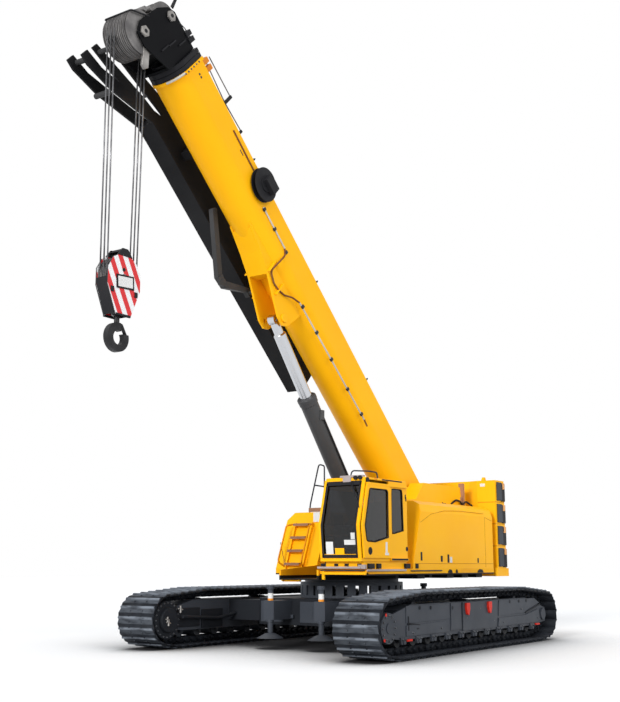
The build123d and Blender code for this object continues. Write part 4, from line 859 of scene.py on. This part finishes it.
lay_pipes("right_hood_seams", [
    [(-0.3, -1.499, 1.58), (-3.62, -1.499, 1.58)], [(-1.3, -1.499, 1.52), (-1.3, -1.499, 2.50)],
    [(-2.5, -1.499, 1.52), (-2.5, -1.499, 2.50)],
], 0.0045, seam_shade, "upper")

# Counterweight: four stacked cast slabs with blank dark side panels, black guide columns and strap
# handles, and a lifting eye on top.
slab_height = 0.5
slab_foot = 1.5
panel_grey = painted_steel("panel_grey", (0.052, 0.058, 0.066), (0.038, 0.043, 0.050), 0.5)
grey_bm, black_bm, tan_bm = bmesh.new(), bmesh.new(), bmesh.new()
for number in range(4):
    low = slab_foot + slab_height * number
    for side in (1, -1):
        add_box(grey_bm, (-4.15, side * 1.500, low + 0.035), (-3.92, side * 1.540, low + 0.455))
        add_box(black_bm, (-4.34, side * 1.470, low + 0.02), (-4.155, side * 1.530, low + 0.44))
        add_round(tan_bm, (-4.215, side * 1.541, low + 0.37), (0, 0, 1), 0.032, 0.14, 20)
mesh_piece("slab_panels", grey_bm, panel_grey, "upper", 0.012)
mesh_piece("slab_columns", black_bm, trim_black, "upper", 0.014)
mesh_piece("slab_handles", tan_bm, handle_tan, "upper", 0.006)
bm = bmesh.new()
for side in (1, -1):
    add_prism(bm, [(-3.96, 3.5), (-4.14, 3.5), (-4.08, 3.59), (-4.02, 3.59)], side * 1.10, side * 1.16)
mesh_piece("lifting_eyes", bm, crane_yellow, "upper", 0.006)
box_piece("eye_plates", white_plate, "upper", 0.001, *(
    ((-3.852, side * 1.13, 3.36), (-3.844, side * 1.25, 3.43)) for side in (1, -1)))
seam_heights = [slab_foot + slab_height * k for k in (1, 2, 3)]
lay_pipes("slab_seams", [[(-3.848, 1.06, z), (-3.848, 1.499, z)] for z in seam_heights]
          + [[(-3.85, 1.499, z), (-4.33, 1.499, z)] for z in seam_heights], 0.006, seam_shade, "upper")

# Winch drums and the engine: grey cast iron.
drum_iron = cast_steel("drum_iron", (0.06, 0.06, 0.065), (0.12, 0.12, 0.125), 0.5, 0.3)
dress(drum_iron, "winch_drum_main", "winch_drum_aux", "engine_block")

# Boom: long folded and welded yellow box sections, each with a black collar at its front end. Hoses
# and a thin conduit are clipped along the left side, and rope guides stand on top.
pivot_x, pivot_z = -1.9, 2.94
boom_rise = math.radians(42.3)
boom_turn = Matrix.Translation((pivot_x, 0, pivot_z)) @ Matrix.Rotation(-boom_rise, 4, "Y")
boom_top = 0.594


def on_boom(along, square, y):
    """A point given along the boom from its pivot, square to it, and across."""
    return boom_turn @ Vector((along, y, square))


def boom_paint(name, black_beyond):
    """Machine yellow, black beyond a station along the boom."""
    mat, tree, surface = blank_finish(name)
    tone = two_tones(tree, object_noise(tree, 0.7, 5.0), yellow_shade, yellow, 0.30, 0.62)
    place = node(tree, "ShaderNodeTexCoord")
    rise, level = math.sin(boom_rise), math.cos(boom_rise)
    along = node(tree, "ShaderNodeVectorMath", {0: place.outputs["Object"], 1: (level, 0, rise)},
                 operation="DOT_PRODUCT")
    from_pivot = maths(tree, "SUBTRACT", along.outputs["Value"], pivot_x * level + pivot_z * rise)
    beyond = span_to_share(tree, from_pivot, black_beyond, black_beyond + 0.004)
    tone = blend_colours(tree, beyond, tone, (0.012, 0.012, 0.014, 1))
    gloss = span_to_share(tree, object_noise(tree, 1.6, 8.0), 0.3, 0.7, 0.36, 0.5)
    feed(tree, surface, {"Base Color": tone, "Roughness": gloss, "Specular IOR Level": 0.10,
                         "Coat Weight": 0.02, "Coat Roughness": 0.15})
    add_bump(tree, surface, object_noise(tree, 150.0, 2.0), 0.05, 0.002)
    return mat


dress(boom_paint("boom_yellow", 20.0), "boom_base")
dress(boom_paint("section_yellow", 10.50), "boom_section_1", "boom_section_2", "boom_section_3")
pale_conduit = painted_steel("pale_conduit", (0.58, 0.56, 0.50), (0.42, 0.40, 0.36), 0.45)
hose_brown = painted_steel("hose_brown", (0.20, 0.075, 0.030), (0.12, 0.045, 0.02), 0.6)


def lay_boom_pipes(name, routes, radius, finish, body, corner):
    """Pipes along routes given as on_boom takes them."""
    lay_pipes(name, [[on_boom(*point) for point in route] for route in routes], radius, finish, body,
              corner)


lay_boom_pipes("boom_conduit", [
    [(7.64, 0.163, 0.392), (6.70, 0.161, 0.392)],
    [(5.66, -0.20, 0.375), (4.4, -0.17, 0.382), (2.55, -0.13, 0.386)],
], 0.016, pale_conduit, "boom", 0.1)
lay_boom_pipes("boom_hose", [
    [(6.70, 0.16, 0.39), (6.59, 0.087, 0.39), (6.60, -0.12, 0.37), (6.58, -0.40, 0.275),
     (6.35, -0.485, 0.268), (6.17, -0.46, 0.268), (5.99, -0.38, 0.268), (5.84, -0.27, 0.33),
     (5.66, -0.20, 0.372)],
    [(2.55, -0.13, 0.386), (2.38, -0.15, 0.39)],
    [(9.15, 0.45, 0.382), (8.5, 0.44, 0.382), (8.3, 0.44, 0.382)],
], 0.017, hose_brown, "boom", 0.12)
bm = bmesh.new()
for along, square in ((6.62, 0.142), (7.60, 0.163), (7.15, 0.163), (5.55, -0.19), (4.9, -0.18),
                      (4.2, -0.165), (3.4, -0.15), (2.7, -0.13)):
    add_box(bm, (along - 0.03, 0.368, square - 0.035), (along + 0.03, 0.412, square + 0.035), boom_turn)
add_box(bm, (8.66, 0.374, 0.355), (8.79, 0.379, 0.378), boom_turn)
for along in (10.30, 10.36):
    add_round(bm, on_boom(along, 0.33, 0.377), (0, 1, 0), 0.022, 0.008, 16)
mesh_piece("boom_clips", bm, rail_paint, "boom", 0.004)
bm = bmesh.new()
for along in (8.38, 5.49, 2.9):
    for side in (1, -1):
        add_prism(bm, [(along - 0.03, boom_top), (along + 0.05, boom_top), (along - 0.015, 0.86),
                       (along - 0.04, 0.90), (along - 0.055, 0.86)],
                  side * 0.20, side * 0.212, boom_turn)
    add_round(bm, on_boom(along - 0.03, 0.80, 0), (0, 1, 0), 0.020, 0.40, 16)
mesh_piece("rope_guides", bm, rail_paint, "boom", 0.003)
bm = bmesh.new()
for start, end in ((6.52, 6.60), (3.2, 3.26)):
    add_box(bm, (start, -0.05, 0.598), (end, 0.05, 0.63), boom_turn)
for along in (10.30, 10.44):
    add_box(bm, (along - 0.05, 0.23, 0.62), (along + 0.05, 0.33, 0.84), boom_turn)
mesh_piece("boom_brackets", bm, marker_orange, "boom", 0.006)
lay_boom_pipes("collar_strip", [[
    (10.555, 0.093 - 0.405 * math.sin(math.radians(a)), 0.405 * math.cos(math.radians(a)))
    for a in range(20, 80, 6)]], 0.022, pale_conduit, "boom", 0.0)
spread_copies("collar_bolts", make_bolt(0.013, 0.016),
              [(on_boom(10.542, square, 0.402), (math.radians(-90), 0, 0))
               for square in (-0.05, 0.05, 0.15, 0.25, 0.35, 0.45)], bolt_steel, "boom")
bm = bmesh.new()
for along, low, high in ((6.62, -0.46, -0.13), (6.17, -0.60, -0.26)):
    for side in (1, -1):
        add_box(bm, (along - 0.011, side * 0.245, low), (along + 0.011, side * 0.305, high), boom_turn)
mesh_piece("eye_gussets", bm, crane_yellow, "boom", 0.004)
bm = bmesh.new()
for side in (1, -1):
    add_round(bm, on_boom(5.676, -0.702, side * 0.262), (0, 1, 0), 0.085, 0.034, 32)
    add_round(bm, (pivot_x, side * 0.475, pivot_z), (0, 1, 0), 0.15, 0.03, 40)
mesh_piece("boom_pin_caps", bm, crane_yellow, "boom", 0.006)
rope_steel = cast_steel("rope_steel", (0.10, 0.10, 0.105), (0.24, 0.24, 0.25), 0.4, 0.8)
bm = bmesh.new()
for start, end, high in ((9.57, 9.63, 1.0), (8.95, 9.0, 0.80)):
    add_box(bm, (start, 0.26, boom_top), (end, 0.30, high), boom_turn)
mesh_piece("rope_standoffs", bm, trim_black, "boom", 0.003)
lay_boom_pipes("boom_top_lines", [
    [(10.44, 0.955, 0.28), (9.60, 0.975, 0.28)],
    [(10.44, 0.80, 0.28), (9.60, 0.74, 0.28), (8.97, 0.785, 0.28)],
], 0.011, rope_steel, "boom", 0.02)

# Head: black welded cheeks with the rope sheaves between them, big nuts on both axles, small guard
# rollers and bars over the sheaves, and the rope's wedge socket below.
head_paint = painted_steel("head_paint", (0.0045, 0.005, 0.006), (0.003, 0.003, 0.004), 0.4, shine=0.05)
dress(head_paint, "boom_head")
sheave_steel = cast_steel("sheave_steel", (0.105, 0.10, 0.10), (0.22, 0.21, 0.205), 0.45, 0.35)
dress(sheave_steel, "head_sheaves", "top_sheaves", "block_sheaves")
axle_ends = [(along, square, side) for along, square in ((11.54, -0.42), (11.45, 0.43))
             for side in (1, -1)]
bm = bmesh.new()
for along, square, side in axle_ends:
    add_round(bm, on_boom(along, square, side * 0.338), (0, 1, 0), 0.105, 0.03, 6)
    add_round(bm, on_boom(along, square, side * 0.356), (0, 1, 0), 0.080, 0.012, 32)
mesh_piece("axle_nuts", bm, bare_steel, "section_3", 0.004)
bm = bmesh.new()
for along, square, side in axle_ends:
    add_round(bm, on_boom(along, square, side * 0.364), (0, 1, 0), 0.036, 0.006, 24)
for along, square in ((10.97, 0.36), (11.08, 0.10), (11.10, -0.14)):
    add_box(bm, (along - 0.012, 0.32, square - 0.12), (along + 0.012, 0.345, square + 0.12), boom_turn)
for along in (10.90, 11.02):
    add_box(bm, (along - 0.04, 0.18, 0.57), (along + 0.05, 0.34, 0.74), boom_turn)
add_prism(bm, [(11.52, 0.60), (11.58, 0.58), (11.66, 0.86), (11.62, 0.88)], 0.30, 0.325, boom_turn)
mesh_piece("head_fittings", bm, trim_black, "section_3", 0.004)
bm = bmesh.new()
for along, square in ((11.75, 0.10), (11.82, -0.06)):
    add_round(bm, on_boom(along, square, 0), (0, 1, 0), 0.045, 0.58, 24)
mesh_piece("guard_rollers", bm, sheave_steel, "section_3", 0.006)
lay_boom_pipes("sheave_guards", [
    [(11.68, -0.10, 0.31), (11.95, -0.44, 0.31), (11.95, -0.44, -0.31), (11.68, -0.10, -0.31)],
], 0.016, trim_black, "section_3", 0.04)
lay_boom_pipes("head_lines", [
    [(10.92, 0.72, 0.28), (11.12, 0.69, 0.28), (11.30, 0.58, 0.30)],
    [(10.92, 0.66, 0.28), (11.02, 0.70, 0.28)],
], 0.009, rope_steel, "section_3", 0.02)
bm = bmesh.new()
add_prism(bm, [(11.34, -0.58), (11.22, -0.50), (11.02, -0.74), (11.05, -0.84), (11.14, -0.84)],
          0.235, 0.285, boom_turn)
mesh_piece("wedge_socket", bm, bare_steel, "section_3", 0.01)

# Stowed jib: a dark tapering box with a forked tip, carried at the boom's right side on a grey arm.
jib_paint = painted_steel("jib_paint", (0.018, 0.018, 0.019), (0.010, 0.010, 0.011), 0.42, shine=0.06)
arm_paint = painted_steel("arm_paint", (0.050, 0.050, 0.051), (0.036, 0.036, 0.037), 0.5)
dress(jib_paint, "jib")
dress(arm_paint, "jib_stow_arm")
bm = bmesh.new()
for along in (10.9, 11.55):
    add_round(bm, on_boom(along, -0.92, -0.76), (0, 1, 0), 0.05, 0.34, 20)
add_round(bm, on_boom(11.45, -0.28, -0.76), (0, 1, 0), 0.045, 0.34, 20)
add_round(bm, on_boom(10.7, -0.05, -0.62), boom_turn.to_3x3() @ Vector((1, 0, 0.05)), 0.05, 0.64, 20)
mesh_piece("jib_pins", bm, arm_paint, "boom", 0.005)
bm = bmesh.new()
add_round(bm, on_boom(6.88, -1.00, -0.42), (0, 1, 0), 0.055, 0.13, 20)
add_round(bm, on_boom(7.98, -0.21, -0.42), (0, 1, 0), 0.045, 0.13, 20)
add_prism(bm, [(6.76, -1.04), (6.90, -1.16), (7.02, -1.10), (7.0, -0.95)], -0.40, -0.34, boom_turn)
mesh_piece("arm_pins", bm, arm_paint, "boom", 0.005)

# Lift cylinder: honed barrel tube with its screwed gland, painted dark grey, and a chromed rod.
barrel_paint = painted_steel("barrel_paint", (0.062, 0.062, 0.063), (0.046, 0.046, 0.048), 0.42,
                             coat=0.1)
dress(barrel_paint, "lift_barrel")
lift = Vector((0.632432, 0, 0.774616))
foot = Vector((-1.1, 0, 1.5))
bm = bmesh.new()
add_round(bm, foot + lift * 4.30, lift, 0.200, 0.07, 48)
add_round(bm, foot + lift * 0.55, lift, 0.192, 0.06, 48)
add_box(bm, (-0.05, 0.17, -0.10), (0.05, 0.22, 0.10), Matrix.Translation(foot + lift * 3.9))
mesh_piece("cylinder_gland", bm, barrel_paint, "cylinder_barrel", 0.006)
lay_pipes("cylinder_pipe", [[foot + lift * reach + Vector((0, 0.20, 0)) for reach in (3.9, 0.8)]],
          0.016, trim_black, "cylinder_barrel")


def chrome_rod(name):
    mat, tree, surface = blank_finish(name)
    gloss = span_to_share(tree, object_noise(tree, 60.0, 4.0, (1, 1, 0.05)), 0.3, 0.7, 0.10, 0.24)
    feed(tree, surface, {"Metallic": 1.0, "Base Color": (0.60, 0.61, 0.63, 1), "Roughness": gloss})
    return mat


dress(chrome_rod("rod_chrome"), "lift_rod")

# Rope falls and hook block: steel rope to a block of two plates in warning stripes with a blank
# plate, black edge guards round the sheaves, and a black forged hook.
block_x, block_y = 6.918, -0.08
bm = bmesh.new()
bm.from_mesh(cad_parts["hoist_ropes"].data)
bmesh.ops.remove_doubles(bm, verts=bm.verts, dist=0.00001)
falls = mesh_piece("hoist_rope_falls", bm, rope_steel)
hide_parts("hoist_ropes")
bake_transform(falls)
hook_iron = cast_steel("hook_iron", (0.010, 0.010, 0.011), (0.026, 0.026, 0.028), 0.45, 0.3)
dress(hook_iron, "hook")
stripe_slant = -0.53
stripe_pitch = 0.235


def striped_paint(name):
    """Red and white slanting warning stripes over the cheeks, black on their edges."""
    mat, tree, surface = blank_finish(name)
    axes = object_axes(tree)
    rise = maths(tree, "MULTIPLY_ADD", axes["Z"], stripe_slant, axes["X"])
    share = maths(tree, "FRACT", maths(tree, "DIVIDE", rise, stripe_pitch))
    stripes = two_tones(tree, share, (0.62, 0.012, 0.016), (0.80, 0.80, 0.80), 0.495, 0.505)
    facing = node(tree, "ShaderNodeNewGeometry").outputs["Normal"]
    across = node(tree, "ShaderNodeSeparateXYZ", {0: facing}).outputs["Y"]
    flat = span_to_share(tree, maths(tree, "ABSOLUTE", across), 0.6, 0.7)
    tone = blend_colours(tree, flat, (0.015, 0.015, 0.016, 1), stripes)
    feed(tree, surface, {"Base Color": tone, "Roughness": 0.35})
    add_bump(tree, surface, object_noise(tree, 150.0, 2.0), 0.05, 0.002)
    return mat


dress(striped_paint("block_stripes"), "block_cheeks")
for side, name in ((1, "left"), (-1, "right")):
    face = block_y + side * 0.138
    out = face + side * 0.012
    bm = bmesh.new()
    slant = Matrix.Translation((block_x - 0.02, 0, 6.07)) @ Matrix.Rotation(math.radians(4), 4, "Y")
    add_box(bm, (-0.20, face, -0.115), (0.20, out, 0.115), slant)
    add_round(bm, (block_x + 0.02, face + side * 0.008, 6.27), (0, 1, 0), 0.03, 0.016, 20)
    for x in (-0.27, 0.27):
        add_box(bm, (block_x + x - 0.04, face, 5.86), (block_x + x + 0.03, out, 5.95))
    inner, outer = face - side * 0.026, face + side * 0.010
    add_prism(bm, [(block_x - 0.17, 6.50), (block_x + 0.17, 6.50), (block_x + 0.06, 6.63),
                   (block_x - 0.06, 6.63)], inner, outer)
    add_box(bm, (block_x - 0.168, inner, 5.50), (block_x + 0.168, outer, 5.535))
    mesh_piece(f"block_trim_{name}", bm, trim_black, "hook_block", 0.004)
    bm = bmesh.new()
    add_box(bm, (-0.165, out, -0.085), (0.165, out + side * 0.003, 0.085), slant)
    mesh_piece(f"block_plate_{name}", bm, white_plate, "hook_block", 0.001)
guard_low, guard_high = block_y - 0.112, block_y + 0.112
bm = bmesh.new()
for side in (1, -1):
    sweep = [(0.375, 6.10), (0.375, 6.00), (0.19, 5.53), (0.16, 5.53), (0.355, 6.00), (0.355, 6.10)]
    add_prism(bm, [(block_x + side * x, z) for x, z in sweep], guard_low, guard_high)
add_prism(bm, [(block_x - 0.10, 6.57), (block_x + 0.10, 6.57), (block_x + 0.04, 6.63),
               (block_x - 0.04, 6.63)], guard_low, guard_high)
mesh_piece("block_guards", bm, trim_black, "hook_block", 0.006)
bm = bmesh.new()
add_prism(bm, [(block_x - 0.045, 5.42), (block_x - 0.115, 5.40), (block_x - 0.235, 5.21),
               (block_x - 0.215, 5.20), (block_x - 0.10, 5.36)], block_y - 0.028, block_y + 0.028)
mesh_piece("hook_latch", bm, hook_iron, "hook", 0.004)

low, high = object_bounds()
